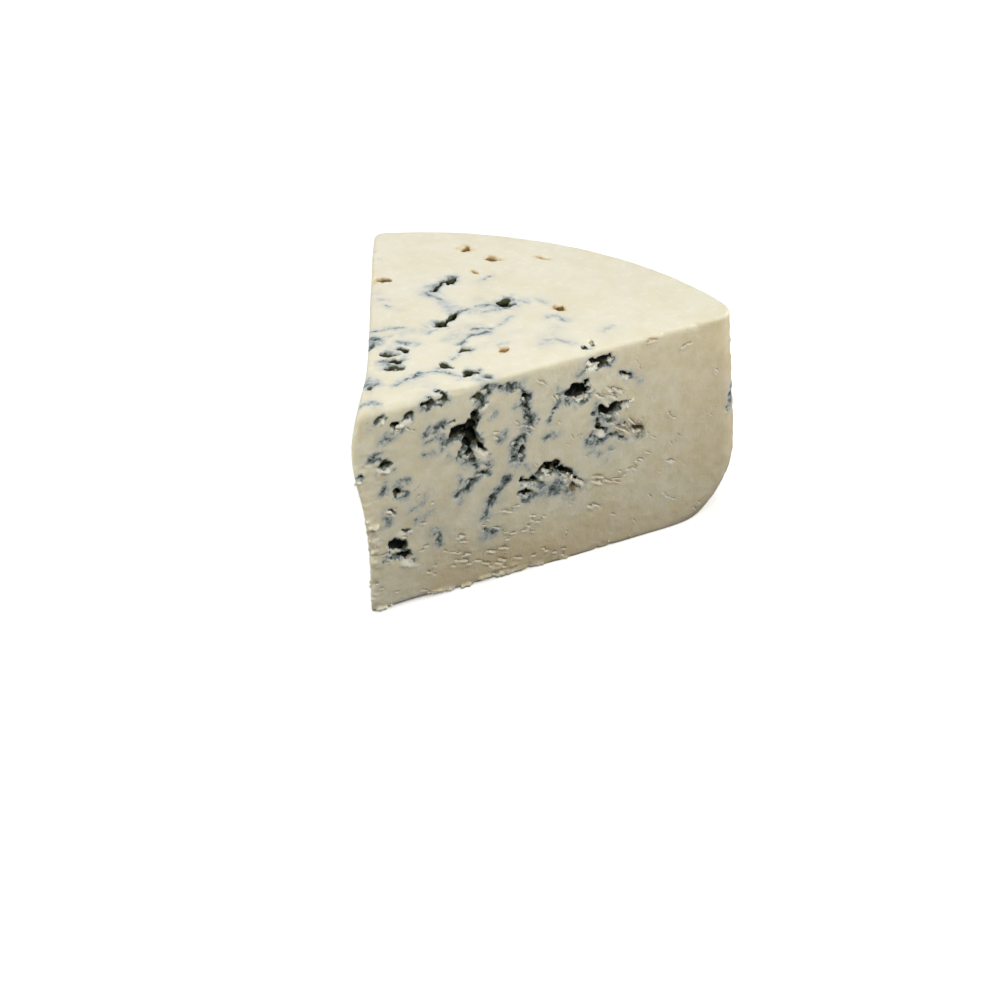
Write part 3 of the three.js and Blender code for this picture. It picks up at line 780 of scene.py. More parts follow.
# Surface net: one vertex in each cell that the surface passes
def surfaceNet(field, low, step):
    inside = field < 0
    shape = np.array(field.shape) - 1
    count = np.zeros(shape, np.int8)
    corners = [(a, b, c) for a in (0, 1) for b in (0, 1) for c in (0, 1)]
    for a, b, c in corners:
        count += inside[a:a + shape[0], b:b + shape[1], c:c + shape[2]]
    cells = np.nonzero((count > 0) & (count < 8))
    number = np.full(shape, -1, np.int32)
    number[cells] = np.arange(len(cells[0]))
    values = {}
    for corner in corners:
        values[corner] = field[cells[0] + corner[0], cells[1] + corner[1], cells[2] + corner[2]]
    total = np.zeros((len(cells[0]), 3), np.float32)
    hits = np.zeros(len(cells[0]), np.float32)
    for corner in corners:
        for axis in range(3):
            if corner[axis]:
                continue
            other = tuple(1 if k == axis else corner[k] for k in range(3))
            va, vb = values[corner], values[other]
            crosses = (va < 0) != (vb < 0)
            share = np.where(crosses, va / np.where(crosses, va - vb, 1), 0)
            for k in range(3):
                total[:, k] += crosses * (corner[k] + (share if k == axis else 0))
            hits += crosses
    vertices = (np.stack(cells, 1) + total / hits[:, None]) * step + low
    quads = []
    for axis in range(3):
        second, third = (axis + 1) % 3, (axis + 2) % 3
        here = [slice(None)] * 3
        ahead = [slice(None)] * 3
        here[axis], ahead[axis] = slice(0, -1), slice(1, None)
        for k in (second, third):
            here[k] = ahead[k] = slice(1, -1)
        first, last = inside[tuple(here)], inside[tuple(ahead)]
        for outward in (True, False):
            edges = np.stack(np.nonzero((first & ~last) if outward else (last & ~first)), 1)
            edges[:, second] += 1
            edges[:, third] += 1
            ring = []
            for ds, dt in ((-1, -1), (0, -1), (0, 0), (-1, 0)):
                cell = edges.copy()
                cell[:, second] += ds
                cell[:, third] += dt
                ring.append(number[cell[:, 0], cell[:, 1], cell[:, 2]])
            if not outward:
                ring.reverse()
            quads.append(np.stack(ring, 1))
    return vertices, np.concatenate(quads)


# Loose scraps and sealed pockets are dropped: only the largest joined surface stays
def largestShell(vertices, quads):
    label = np.arange(len(vertices))
    while True:
        lowest = label[quads].min(1)
        before = label.copy()
        for k in range(4):
            np.minimum.at(label, quads[:, k], lowest)
        label = label[label]
        if np.array_equal(before, label):
            break
    names, sizes = np.unique(label, return_counts=True)
    keep = label == names[np.argmax(sizes)]
    renumber = np.cumsum(keep) - 1
    quads = quads[keep[quads].all(1)]
    return vertices[keep], renumber[quads]


field, fieldLow, fieldStep = buildField()
netVertices, netQuads = largestShell(*surfaceNet(field, fieldLow, fieldStep))
print("surface net", len(netVertices), "vertices")


def meshFromArrays(name, vertices, faces):
    mesh = bpy.data.meshes.new(name)
    mesh.vertices.add(len(vertices))
    mesh.vertices.foreach_set("co", vertices.astype(np.float32).ravel())
    sides = faces.shape[1]
    mesh.loops.add(faces.size)
    mesh.loops.foreach_set("vertex_index", faces.astype(np.int32).ravel())
    mesh.polygons.add(len(faces))
    mesh.polygons.foreach_set("loop_start", np.arange(0, faces.size, sides, dtype=np.int32))
    mesh.update(calc_edges=True)
    mesh.validate()
    return mesh


def addPiece(name, mesh):
    piece = bpy.data.objects.new(name, mesh)
    bpy.context.scene.collection.objects.link(piece)
    return piece


# The piece keeps what its modifiers make, as plain mesh
def keepModified(piece):
    graph = bpy.context.evaluated_depsgraph_get()
    mesh = bpy.data.meshes.new_from_object(piece.evaluated_get(graph))
    piece.modifiers.clear()
    old = piece.data
    piece.data = mesh
    bpy.data.meshes.remove(old)


# The veined faces keep their fine triangles, the rim and the foot give theirs up first
def thinOut(piece, weight, triangles):
    group = piece.vertex_groups.new(name="thinFirst")
    for level in np.unique(weight):
        group.add(np.nonzero(weight == level)[0].tolist(), float(level), "REPLACE")
    piece.data.calc_loop_triangles()
    thin = piece.modifiers.new("thin", "DECIMATE")
    thin.ratio = triangles / len(piece.data.loop_triangles)
    thin.vertex_group = group.name
    thin.vertex_group_factor = 1.0
    thin.use_collapse_triangulate = True
    keepModified(piece)
    piece.vertex_groups.clear()


thinShare = {
    "cut": 0.15, "leftCut": 0.3, "rightEnd": 0.4, "slice": 0.3, "sliceBack": 0.6, "rim": 0.8, "foot": 0.95,
}
thinFrom = {"rightEnd": 96, "sliceBack": 88, "slice": 1, "rim": 1.5, "foot": 0.3}


def thinWeights(points):
    x, y, z = points.T
    rightAlong = faceCoordinates("right", x, y, z)[0]
    onSlice = z > wedge["height"] - thinFrom["slice"]
    weight = np.full(len(points), thinShare["cut"])
    weight[x < 0] = thinShare["leftCut"]
    weight[(x > 0) & (rightAlong > thinFrom["rightEnd"])] = thinShare["rightEnd"]
    weight[onSlice] = thinShare["slice"]
    weight[onSlice & (y > thinFrom["sliceBack"])] = thinShare["sliceBack"]
    weight[rimDistance(x, y, z) > -thinFrom["rim"]] = thinShare["rim"]
    weight[z < thinFrom["foot"]] = thinShare["foot"]
    return weight


body = addPiece("wedge_paste", meshFromArrays("wedge_paste", netVertices, netQuads))
thinOut(body, thinWeights(netVertices), wedge["triangles"])
print("thinned to", len(body.data.polygons), "triangles")

skin = np.zeros((len(body.data.vertices), 3), np.float32)
body.data.vertices.foreach_get("co", skin.ravel())
normals = np.zeros_like(skin)
body.data.vertex_normals.foreach_get("vector", normals.ravel())

mouldLook = {
    "faceFade": (5.5, 2.0), "leftFrom": -4,      # how far under each face its mould is painted
    "sway": 0.9, "swaySize": 3.4,
    "veinReach": 7, "holeReach": 4,
    "coreWidth": {"right": 1.0, "left": 1.0, "slice": 0.65},         # finer lines on the slice
    "coreStrength": {"right": 1.0, "left": 1.0, "slice": 1.5},
    "stainSpread": 1.2, "stainPower": 0.6,       # the blue stain reaches past the line itself
    "wideSpread": 3.4, "wideShare": 0.42,        # and a faint wash further still
    "wall": (0.7, 0.1),
    "dryDeep": (0.2, 1.3), "dryLeast": 0.6, "olive": 0.3,
    "halo": 0.9, "haloReach": 1.5, "haloSize": 3.4, "haloPatch": (-0.4, 0.35), "haloLeast": 0.2,
    "haloAbove": 0.5, "haloTop": (-0.5, 1.0),    # less of it above a hole
    "haloNarrow": 0.35, "haloWidth": 4,          # and about a narrow one
    "sliceReach": 1.4,
    "haloMould": 0.6, "sliceMould": 0.35, "mouldCloser": 2.2,
    "bloom": 0.5, "bloomSize": 9.0, "bloomPatch": (0.3, 0.9),        # on the rind
    "bloomRim": (-1.2, -0.2), "bloomBelow": (1.0, 8.0),
    "onSlice": 0.9, "sliceFade": (63, 65.5),     # mould shows paler on the slice
    # Hole walls: mould colour with painted shade that deepens inward, and painted light on floors that face
    # up
    "deep": (0.3, 1.2), "sliceDeep": (0.15, 1.1),    # hole walls turn dark between these depths
    "black": (0.8, 3.0),                         # and from moss to black between these
    "floorDeep": (0.8, 2.2), "floorLight": 0.4,  # and floors that face up between these
    "upFacing": (0.15, 0.6), "upBelow": (64.5, 62),
    "onFlake": 0.1, "stainOnFlake": 0.25,        # what is left on the clean flakes
    "flakeReach": 0.4, "flakeFade": (0.35, 0.1),
}
tearPaint = {   # places on a tear, in half lengths and in widths
    "across": 0.25, "middle": -0.6, "ends": 1.5, "above": 2.5, "below": -3.5, "far": 5.0, "tan": 0.4,
}
pasteTint = {   # shares, with the ranges that each runs over, none to all
    # chalk shares: chalky flakes with painted highlight, painted highlight at the tip foot and the foot
    "flakeChalkAndHighlight": 0.7,
    "tipHighlight": 0.35, "tipHighlightAlong": (14, 4), "tipHighlightHeight": (20, 6), "tipHighlightFrom": -3,
    "footHighlight": 0.9, "footHighlightAlong": (70, 45), "footHighlightHeight": (3.2, 0.8),
    "footHighlightSize": 2.4, "footHighlightPatch": (-0.1, 0.4),
    "rindNear": (-7.5, 0),
    # painted shade: the rind tan low on the right cut, toward the foot
    "footShade": 0.75, "footShadeAlong": (4, 24), "footShadeHeight": (30, 2),
    "rindFar": 0.55, "rindFarAlong": (45, 105), "rindBelow": (0.2, 1.6),
    "grainOnSlice": 0.25, "grainFade": (64.5, 66),
}
crumbPaint = {
    "foot": 0.5, "footHeight": (3.0, 1.2), "aboveFloor": (0.8, 1.2),
    "tip": 0.2, "tipReach": (4.0, 1.0), "tipHeight": (60, 40), "hole": 0.8,
}


def toSegment(p, a, b):
    a, b = np.array(a, np.float32), np.array(b, np.float32)
    along = np.clip((p - a) @ (b - a) / max(float((b - a) @ (b - a)), 1e-6), 0, 1)
    return np.linalg.norm(p - a - along[:, None] * (b - a), axis=1)


def toLine(p, line):
    return np.min([toSegment(p, a, b) for a, b in zip(line[:-1], line[1:])], axis=0)


def raisePaint(paint, index, values):
    paint[index] = np.maximum(paint[index], values)


def paintVeins(face, near, place, fade, paints):
    look = mouldLook
    for line, width, strength in faceVeins[face]:
        middle = np.mean(line, axis=0)
        reach = np.abs(np.array(line) - middle).max() + look["veinReach"]
        close = np.nonzero(np.abs(place - middle).max(1) < reach)[0]
        if not len(close):
            continue
        gap = toLine(place[close], line)
        core = strength * np.exp(-(gap / (width * look["coreWidth"][face])) ** 2)
        core = np.minimum(core * look["coreStrength"][face], 1)
        reached = strength ** look["stainPower"]
        blur = reached * np.exp(-(gap / (width + look["stainSpread"])) ** 2)
        faint = look["wideShare"] * reached
        blur = np.maximum(blur, faint * np.exp(-(gap / (width + look["wideSpread"])) ** 2))
        raisePaint(paints["mould"], near[close], core * fade[close])
        raisePaint(paints["stain"], near[close], blur * fade[close])
    for line, width, strength in sliceWashes if face == "slice" else []:
        gap = toLine(place, line)
        raisePaint(paints["stain"], near, strength * np.exp(-(gap / width) ** 2) * fade)


# Dark or dry walls, with a ragged halo of stain about the mouldy holes
def paintHoles(face, near, across, depth, paints):
    look = mouldLook
    for number, row in enumerate(faceHoles[face] + facePits[face]):
        spot, _ = holeFrame(face, row)
        close = near[np.abs(skin[near] - spot).max(1) < max(row[2] / 2, row[4]) + look["holeReach"]]
        if not len(close):
            continue
        gap = holeDistance(skin[close], face, row, number)
        wall = ease(*look["wall"], gap)
        if face == "slice" and number in tanSliceRows:
            deep = look["dryLeast"] + (1 - look["dryLeast"]) * ease(*look["dryDeep"], depth[close])
            raisePaint(paints["tan"], close, wall * deep)
            continue
        if face == "right" and number in oliveRightRows:
            raisePaint(paints["tan"], close, wall * look["olive"])
        raisePaint(paints["inHole"], close, wall)
        reach = look["haloReach"] * min(1.0, look["haloNarrow"] + row[3] / look["haloWidth"])
        if face == "slice":
            reach *= look["sliceReach"]
        else:
            above = ease(*look["haloTop"], (across[close] - row[1]) / row[3])
            reach = reach * (1 - above * (1 - look["haloAbove"]))
        uneven = ease(*look["haloPatch"], lumps(skin[close], look["haloSize"], 50))
        uneven = look["haloLeast"] + (1 - look["haloLeast"]) * uneven
        away = np.maximum(gap, 0) / (reach * uneven)
        raisePaint(paints["stain"], close, look["halo"] * np.exp(-away ** 2))
        grow = look["sliceMould" if face == "slice" else "haloMould"]
        raisePaint(paints["mould"], close, grow * np.exp(-(look["mouldCloser"] * away) ** 2))


# Each point keeps its place on the nearest tear, and that tear's depth
def paintTears(face, near, along, across, tears, nearest, paints):
    look = tearPaint
    for number, row in enumerate(tearRows(face)):
        close = nearTear(near, along, across, row)
        u, v = tearPlace(along[close], across[close], row)
        score = u * u + look["across"] * (v - look["middle"]) ** 2
        within = (np.abs(u) < look["ends"]) & (v < look["above"]) & (v > look["below"])
        mine = within & (score < nearest[close])
        nearest[close[mine]] = score[mine]
        tears[close[mine]] = np.stack([u, v, np.full(len(u), row[4])], 1)[mine]
        if face == "right" and number // tearRule["handGroup"] in tanTears:
            raisePaint(paints["tan"], close, look["tan"] * np.exp(-u ** 4 - (0.5 * v + 0.3) ** 2))


def flakePaint():
    clean = np.zeros(len(skin), np.float32)
    for number, plate in enumerate(holePlates):
        reach = plate["half"].max() + mouldLook["flakeReach"]
        close = np.nonzero(np.abs(skin - plate["place"]).max(1) < reach)[0]
        if len(close):
            gap = plateDistance(skin[close], plate, plateLook["holeSeed"] + number)
            raisePaint(clean, close, ease(*mouldLook["flakeFade"], gap))
    return clean


# Vertex paints: stain (pale blue), mould (slate and ink), hole walls (mould, moss to black, painted shade
# deeper in, painted light on floors that face up), tan (dry holes), rind tint with painted shade low on the
# right cut, chalky flakes with painted highlights, painted highlights at the tip foot and the foot, tear,
# grain (less on the slice), crumb
def paintSkin():
    x, y, z = skin.T
    depth = -plainWedge(x, y, z)
    rim = rimDistance(x, y, z)
    rightAlong = faceCoordinates("right", x, y, z)[0]
    paints = {name: np.zeros(len(skin), np.float32) for name in ("stain", "mould", "tan", "inHole")}
    tears = np.full((len(skin), 3), tearPaint["far"], np.float32)
    nearest = np.full(len(skin), 9.0, np.float32)
    for face in ("right", "left", "slice"):
        along, across, out = faceCoordinates(face, x, y, z)
        near = np.nonzero(np.abs(out) < mouldLook["faceFade"][0])[0]
        if face == "left":
            near = near[along[near] > mouldLook["leftFrom"]]
        fade = ease(*mouldLook["faceFade"], np.abs(out[near]))
        sway = np.stack([layered(skin[near], mouldLook["swaySize"], shift, 2) for shift in (30, 40)], 1)
        place = np.stack([along[near], across[near]], 1).astype(np.float32) + mouldLook["sway"] * sway
        paintVeins(face, near, place, fade, paints)
        paintHoles(face, near, across, depth, paints)
        if face != "slice":
            paintTears(face, near, along, across, tears, nearest, paints)
    stain, mould, inHole = (paints[name] for name in ("stain", "mould", "inHole"))

    # a blue bloom on the rind, clean flakes, less mould on the slice
    belowSlice = wedge["height"] - z
    bloom = ease(*mouldLook["bloomPatch"], layered(skin, mouldLook["bloomSize"], 60, 3))
    bloom = bloom * ease(*mouldLook["bloomRim"], rim) * ease(*mouldLook["bloomBelow"], belowSlice)
    stain = np.maximum(stain, mouldLook["bloom"] * bloom)
    clean = flakePaint()
    mould *= 1 - (1 - mouldLook["onFlake"]) * clean
    stain *= 1 - (1 - mouldLook["stainOnFlake"]) * clean
    paler = 1 - (1 - mouldLook["onSlice"]) * ease(*mouldLook["sliceFade"], z)
    mould *= paler
    stain *= paler

    # hole walls: mould darkened with depth as painted shade; shallow floors that face up stay lighter as
    # painted light
    upFacing = ease(*mouldLook["upFacing"], normals[:, 2]) * ease(*mouldLook["upBelow"], z)
    floorDark = ease(*mouldLook["floorDeep"], depth)
    onSlice = z > mouldLook["sliceFade"][0]
    walls = np.where(onSlice, ease(*mouldLook["sliceDeep"], depth), ease(*mouldLook["deep"], depth))
    wallMouldAndShade = inHole * walls * (1 - mouldLook["floorLight"] * upFacing * (1 - floorDark))
    wallMouldAndShade = wallMouldAndShade * (1 - (1 - mouldLook["onFlake"]) * clean)

    # chalky flakes, partly painted highlight; painted highlight at the tip foot and on patches of the foot
    tint = pasteTint
    # painted highlight: chalk colour low on the right cut by the tip
    tipFootHighlight = tint["tipHighlight"] * ease(*tint["tipHighlightAlong"], rightAlong) * ease(*tint["tipHighlightHeight"], z)
    chalkAndHighlight = np.maximum(tint["flakeChalkAndHighlight"] * clean, tipFootHighlight * (x > tint["tipHighlightFrom"]))
    # painted highlight: chalk patches on the lowest band of the foot, whose broken edges face up
    footHighlightPatches = ease(*tint["footHighlightPatch"], layered(skin, tint["footHighlightSize"], 12, 2))
    footHighlightPatches = tint["footHighlight"] * ease(*tint["footHighlightHeight"], z) * footHighlightPatches
    chalkAndHighlight = np.maximum(chalkAndHighlight, footHighlightPatches * ease(*tint["footHighlightAlong"], rightAlong))

    # creamier toward the rim and at the far end of the right cut; low on the right cut the same tan is
    # painted shade, darker toward the foot
    low = tint["footShade"] * ease(*tint["footShadeHeight"], z) * ease(*tint["footShadeAlong"], rightAlong)
    far = tint["rindFar"] * ease(*tint["rindFarAlong"], rightAlong) * (x > 0)
    rindTintAndShade = np.maximum(np.maximum(ease(*tint["rindNear"], rim), low), far)
    rindTintAndShade *= ease(*tint["rindBelow"], belowSlice)

    # crumbs on the foot, the tip edge and the floors of the holes
    foot = ease(*crumbPaint["footHeight"], z) * (1 - rindTintAndShade)
    lean = tipSwell(z)
    atTip = ease(*crumbPaint["tipReach"], np.hypot(x + lean * cosHalf, y + lean * sinHalf))
    atTip = atTip * ease(*crumbPaint["tipHeight"], z)
    crumb = np.maximum(crumbPaint["foot"] * foot, crumbPaint["tip"] * atTip)
    crumb = crumb * ease(*crumbPaint["aboveFloor"], z) + crumbPaint["hole"] * inHole * upFacing

    tears[:, 2] *= (1 - inHole) * (tears[:, 1] < tearPaint["far"])
    return {
        "stain": stain, "mould": mould, "wallMouldAndShade": wallMouldAndShade, "tan": paints["tan"], "rindTintAndShade": rindTintAndShade, "crumb": crumb,
        "tear": tears, "grain": 1 - (1 - tint["grainOnSlice"]) * ease(*tint["grainFade"], z), "chalkAndHighlight": chalkAndHighlight,
        # moss to black deeper in the holes: mould and painted shade
        "deep": inHole * ease(*mouldLook["black"], depth),
    }


paints = paintSkin()
for name, values in paints.items():
    vector = values.ndim == 2
    layer = body.data.attributes.new(name, "FLOAT_VECTOR" if vector else "FLOAT", "POINT")
    layer.data.foreach_set("vector" if vector else "value", values.astype(np.float32).ravel())
print("painted", {name: round(float(values.mean()), 3) for name, values in paints.items()})

placed = skin * metre + tipPlace.astype(np.float32)
body.data.vertices.foreach_set("co", placed.astype(np.float32).ravel())
body.data.polygons.foreach_set("use_smooth", np.ones(len(body.data.polygons), bool))
body.data.update()


# Materials
def srgb(r, g, b):
    def one(v):
        v /= 255
        return v / 12.92 if v <= 0.04045 else ((v + 0.055) / 1.055) ** 2.4
    return (one(r), one(g), one(b), 1.0)


class Tree:
    def __init__(self, nodes, links):
        self.nodes, self.links = nodes, links

    def add(self, kind, inputs=None, **settings):
        node = self.nodes.new(kind)
        for key, value in settings.items():
            setattr(node, key, value)
        for key, value in (inputs or {}).items():
            if isinstance(value, bpy.types.NodeSocket):
                self.links.new(value, node.inputs[key])
            else:
                node.inputs[key].default_value = value
        return node

    def paint(self, name):
        return self.add("ShaderNodeAttribute", attribute_name=name).outputs["Fac"]

    def noise(self, place, scale, detail, rough):
        return self.add("ShaderNodeTexNoise", {"Vector": place, "Scale": scale, "Detail": detail,
                                               "Roughness": rough}).outputs["Fac"]

    def swing(self, place, scale, detail, rough):
        return self.less(self.noise(place, scale, detail, rough), 0.5)

    def math(self, operation, a, b=0.0, c=0.0, clamp=False):
        node = self.add("ShaderNodeMath", {0: a, 1: b, 2: c}, operation=operation, use_clamp=clamp)
        return node.outputs[0]

    def times(self, a, b):
        return self.math("MULTIPLY", a, b)

    def timesPlus(self, a, b, c, clamp=False):
        return self.math("MULTIPLY_ADD", a, b, c, clamp)

    def less(self, a, b):
        return self.math("SUBTRACT", a, b)

    def vector(self, operation, inputs):
        return self.add("ShaderNodeVectorMath", inputs, operation=operation).outputs

    def span(self, value, low, high, outLow=0.0, outHigh=1.0):
        limits = {"From Min": low, "From Max": high, "To Min": outLow, "To Max": outHigh}
        node = self.add("ShaderNodeMapRange", {"Value": value, **limits}, interpolation_type="SMOOTHSTEP")
        return node.outputs["Result"]

    def mix(self, share, a, b):
        return self.add("ShaderNodeMix", {"Factor": share, 6: a, 7: b}, data_type="RGBA").outputs[2]


pasteLook = {
    "ivory": srgb(238, 233, 212),
    "cream": srgb(234, 225, 196),
    "chalk": srgb(248, 246, 236),
    "wash": srgb(200, 202, 201),
    "stain": srgb(188, 196, 195),
    "slate": srgb(108, 119, 122),
    "ink": srgb(50, 58, 53),
    "greenBlack": srgb(20, 24, 17),
    "moss": srgb(92, 95, 66),
    "mottle": srgb(224, 215, 185),
    "tan": srgb(226, 202, 148),
    "amber": srgb(160, 120, 56),
    "rindAndShadeTan": srgb(216, 194, 154),
    "slitShadow": srgb(150, 134, 98),
    "streakTurn": math.radians(26),      # mould is smeared up to the right on the right cut
    "streakStretch": 1.3,
    "fineCurd": 0.00008,
    "coarseCurd": 0.0002,
    "tearDepth": 0.8,
    "subsurface": 0.35,
    "subsurfaceScale": 0.0016,
    "subsurfaceRadius": (1.0, 0.8, 0.45),
    "specular": 0.4,
}
pasteNoise = {   # scale, detail, roughness
    "clouds": (60, 4, 0.55),
    "chalk": (420, 3, 0.6),
    "mottle": (240, 4, 0.6),
    "smear": (260, 2, 0.5),
    "patch": (600, 2, 0.55),
    "fleck": (1400, 2, 0.6),
    "speck": (850, 2, 0.6),
    "sheen": (220, 3, 0.5),
    "fineCurd": (1100, 1, 0.5),
    "coarseCurd": (260, 1, 0.4),
    "rag": (1000, 3, 0.65),
}


# A tear across: a steep drop, a slope that faces up, a lip that fades out, with a painted shadow in the
# slit and a painted highlight on the lip
def tearRelief(tree, place):
    tear = tree.add("ShaderNodeAttribute", attribute_name="tear").outputs["Vector"]
    u, v, depth = tree.add("ShaderNodeSeparateXYZ", {0: tear}).outputs
    ragged = tree.swing(place, *pasteNoise["rag"])
    v = tree.timesPlus(ragged, 1.4, tree.timesPlus(tree.times(u, u), tearLook["curve"], v))
    u = tree.timesPlus(ragged, 1.0, u)
    ends = tree.math("MAXIMUM", tree.less(1.0, tree.times(u, u)), 0.0)
    size = tree.times(ends, tree.times(depth, pasteLook["tearDepth"] * metre))
    drop = tree.span(v, 0.1, 0.5, 1, 0)
    climb = tree.span(v, -0.7, 0.1, 1, 0)
    fade = tree.span(v, -1.8, -0.7, 1, 0)
    profile = tree.timesPlus(fade, -tearLook["lip"], tree.times(drop, -1))
    profile = tree.timesPlus(climb, 1 + tearLook["lip"], profile)
    # where the painted shadow and the painted highlight of a tear go
    slitShadow = tree.times(tree.times(drop, tree.less(1.0, climb)), ends)
    lip = tree.times(tree.times(climb, tree.less(1.0, fade)), ends)
    known = tree.span(depth, 0.0, 0.1)
    return tree.times(profile, size), tree.times(slitShadow, known), tree.times(lip, known)


def pasteMaterial():
    material = bpy.data.materials.new("cheesePaste")
    material.use_nodes = True
    tree = Tree(material.node_tree.nodes, material.node_tree.links)
    look = pasteLook
    shader = tree.nodes["Principled BSDF"]
    place = tree.add("ShaderNodeTexCoord").outputs["Object"]
    along, up, out = (Vector(v) for v in faceAxes["right"][:3])
    first = along * math.cos(look["streakTurn"]) + up * math.sin(look["streakTurn"])
    turned = Matrix((first, out.cross(first), out)).transposed().to_euler()
    streak = tree.add("ShaderNodeMapping", {"Vector": place, "Rotation": turned,
                                            "Scale": (look["streakStretch"], 1, 1)}, vector_type="TEXTURE")
    streak = streak.outputs["Vector"]
    grain = tree.paint("grain")
    stain, mould, wallMouldAndShade, tan, rindTintAndShade = (tree.paint(name) for name in ("stain", "mould", "wallMouldAndShade", "tan", "rindTintAndShade"))

    # paste: ivory with cream and chalk clouds, creamier at the rim, and painted shade in the rind tan low
    # on the right cut
    clouds = tree.noise(place, *pasteNoise["clouds"])
    colour = tree.mix(tree.span(clouds, 0.35, 0.75, 0, 0.7), look["ivory"], look["cream"])
    chalk = tree.noise(place, *pasteNoise["chalk"])
    colour = tree.mix(tree.span(chalk, 0.52, 0.75, 0, 0.5), colour, look["chalk"])
    mottle = tree.span(tree.noise(place, *pasteNoise["mottle"]), 0.42, 0.7, 0, 0.6)
    colour = tree.mix(tree.times(mottle, grain), colour, look["mottle"])
    cloudy = tree.timesPlus(tree.less(clouds, 0.5), 0.5, rindTintAndShade)
    colour = tree.mix(tree.span(cloudy, 0.25, 1.0, 0, 0.7), colour, look["rindAndShadeTan"])

    # mould: a soft grey-blue stain, slate blotches where it is thick, small ink specks
    smear, patch = (tree.swing(streak, *pasteNoise[name]) for name in ("smear", "patch"))
    fleck, speck = (tree.swing(place, *pasteNoise[name]) for name in ("fleck", "speck"))
    grown = tree.span(stain, 0.12, 0.55)
    broken = tree.timesPlus(patch, 1.1, tree.times(fleck, 0.8))
    broken = tree.timesPlus(smear, 0.9, broken)
    thick = tree.timesPlus(stain, 0.4, tree.times(mould, 0.44))
    onCut = tree.timesPlus(grain, 0.5, 0.5)
    growth = tree.timesPlus(tree.times(broken, onCut), grown, thick)
    soft = tree.timesPlus(smear, tree.span(stain, 0.02, 0.3), stain, clamp=True)
    colour = tree.mix(tree.times(soft, 0.75), colour, look["wash"])
    colour = tree.mix(tree.span(growth, 0.04, 0.5, 0, 0.95), colour, look["stain"])
    colour = tree.mix(tree.span(growth, 0.32, 0.74), colour, look["slate"])
    inky = tree.timesPlus(patch, 0.7, tree.times(mould, 0.55))
    inky = tree.timesPlus(speck, 1.3, inky)
    colour = tree.mix(tree.times(tree.span(inky, 0.4, 0.56), grown), colour, look["ink"])

    # hole walls: mossy mould near the mouth, green black deeper in as mould and painted shade, amber in the
    # dry ones
    deeper = tree.timesPlus(tree.math("ADD", fleck, patch), 0.6, tree.paint("deep"))
    mouldPowderAndShade = tree.mix(tree.span(deeper, 0.05, 0.6), look["moss"], look["greenBlack"])
    wallShare = tree.span(tree.timesPlus(fleck, 0.7, wallMouldAndShade), 0.25, 0.75)
    colour = tree.mix(wallShare, colour, mouldPowderAndShade)
    dry = tree.mix(tree.span(tan, 0.5, 1.0), look["tan"], look["amber"])
    colour = tree.mix(tree.times(tan, 0.95), colour, dry)

    # greasy cut: duller where mould and crumbs are
    sheen = tree.span(tree.noise(streak, *pasteNoise["sheen"]), 0.3, 0.7, 0.42, 0.6)
    rough = tree.timesPlus(stain, 0.25, sheen, clamp=True)
    fine = tree.times(tree.noise(place, *pasteNoise["fineCurd"]), look["fineCurd"])
    coarse = tree.timesPlus(tree.noise(place, *pasteNoise["coarseCurd"]), look["coarseCurd"], fine)
    curd = tree.times(coarse, grain)
    rise, slitShadow, lip = tearRelief(tree, place)
    height = tree.math("ADD", rise, curd)
    # painted shadow: a darker tan in the slit of each tear
    colour = tree.mix(tree.times(slitShadow, 0.5), colour, look["slitShadow"])
    # painted highlight: chalk colour on the lip of each tear, on the slope that faces up to the light
    colour = tree.mix(tree.times(lip, 0.6), colour, look["chalk"])
    # chalky flakes, partly painted highlight, and painted highlight at the tip foot and on the foot
    colour = tree.mix(tree.times(tree.paint("chalkAndHighlight"), 0.8), colour, look["chalk"])
    bump = tree.add("ShaderNodeBump", {"Strength": 1.0, "Distance": 1.0, "Height": height})
    tree.links.new(colour, shader.inputs["Base Color"])
    tree.links.new(rough, shader.inputs["Roughness"])
    tree.links.new(bump.outputs["Normal"], shader.inputs["Normal"])
    shader.inputs["Subsurface Weight"].default_value = look["subsurface"]
    shader.inputs["Subsurface Scale"].default_value = look["subsurfaceScale"]
    shader.inputs["Subsurface Radius"].default_value = look["subsurfaceRadius"]
    shader.inputs["Specular IOR Level"].default_value = look["specular"]
    return material


paste = pasteMaterial()
body.data.materials.clear()
body.data.materials.append(paste)
print("paste finished")

# Crumbs that cling to the foot, the tip edge and the floors of the holes
crumbLook = {
    "perArea": 260000.0, "size": 0.00042, "sizeRange": (0.45, 1.5), "seed": 4,
    "shapes": 3, "shapeStep": (9.1, 4.7, 2.3), "chipScale": 1.4, "chip": 1.9, "flatten": (1.0, 0.8, 0.55),
    "fullTurn": 6.28,
}


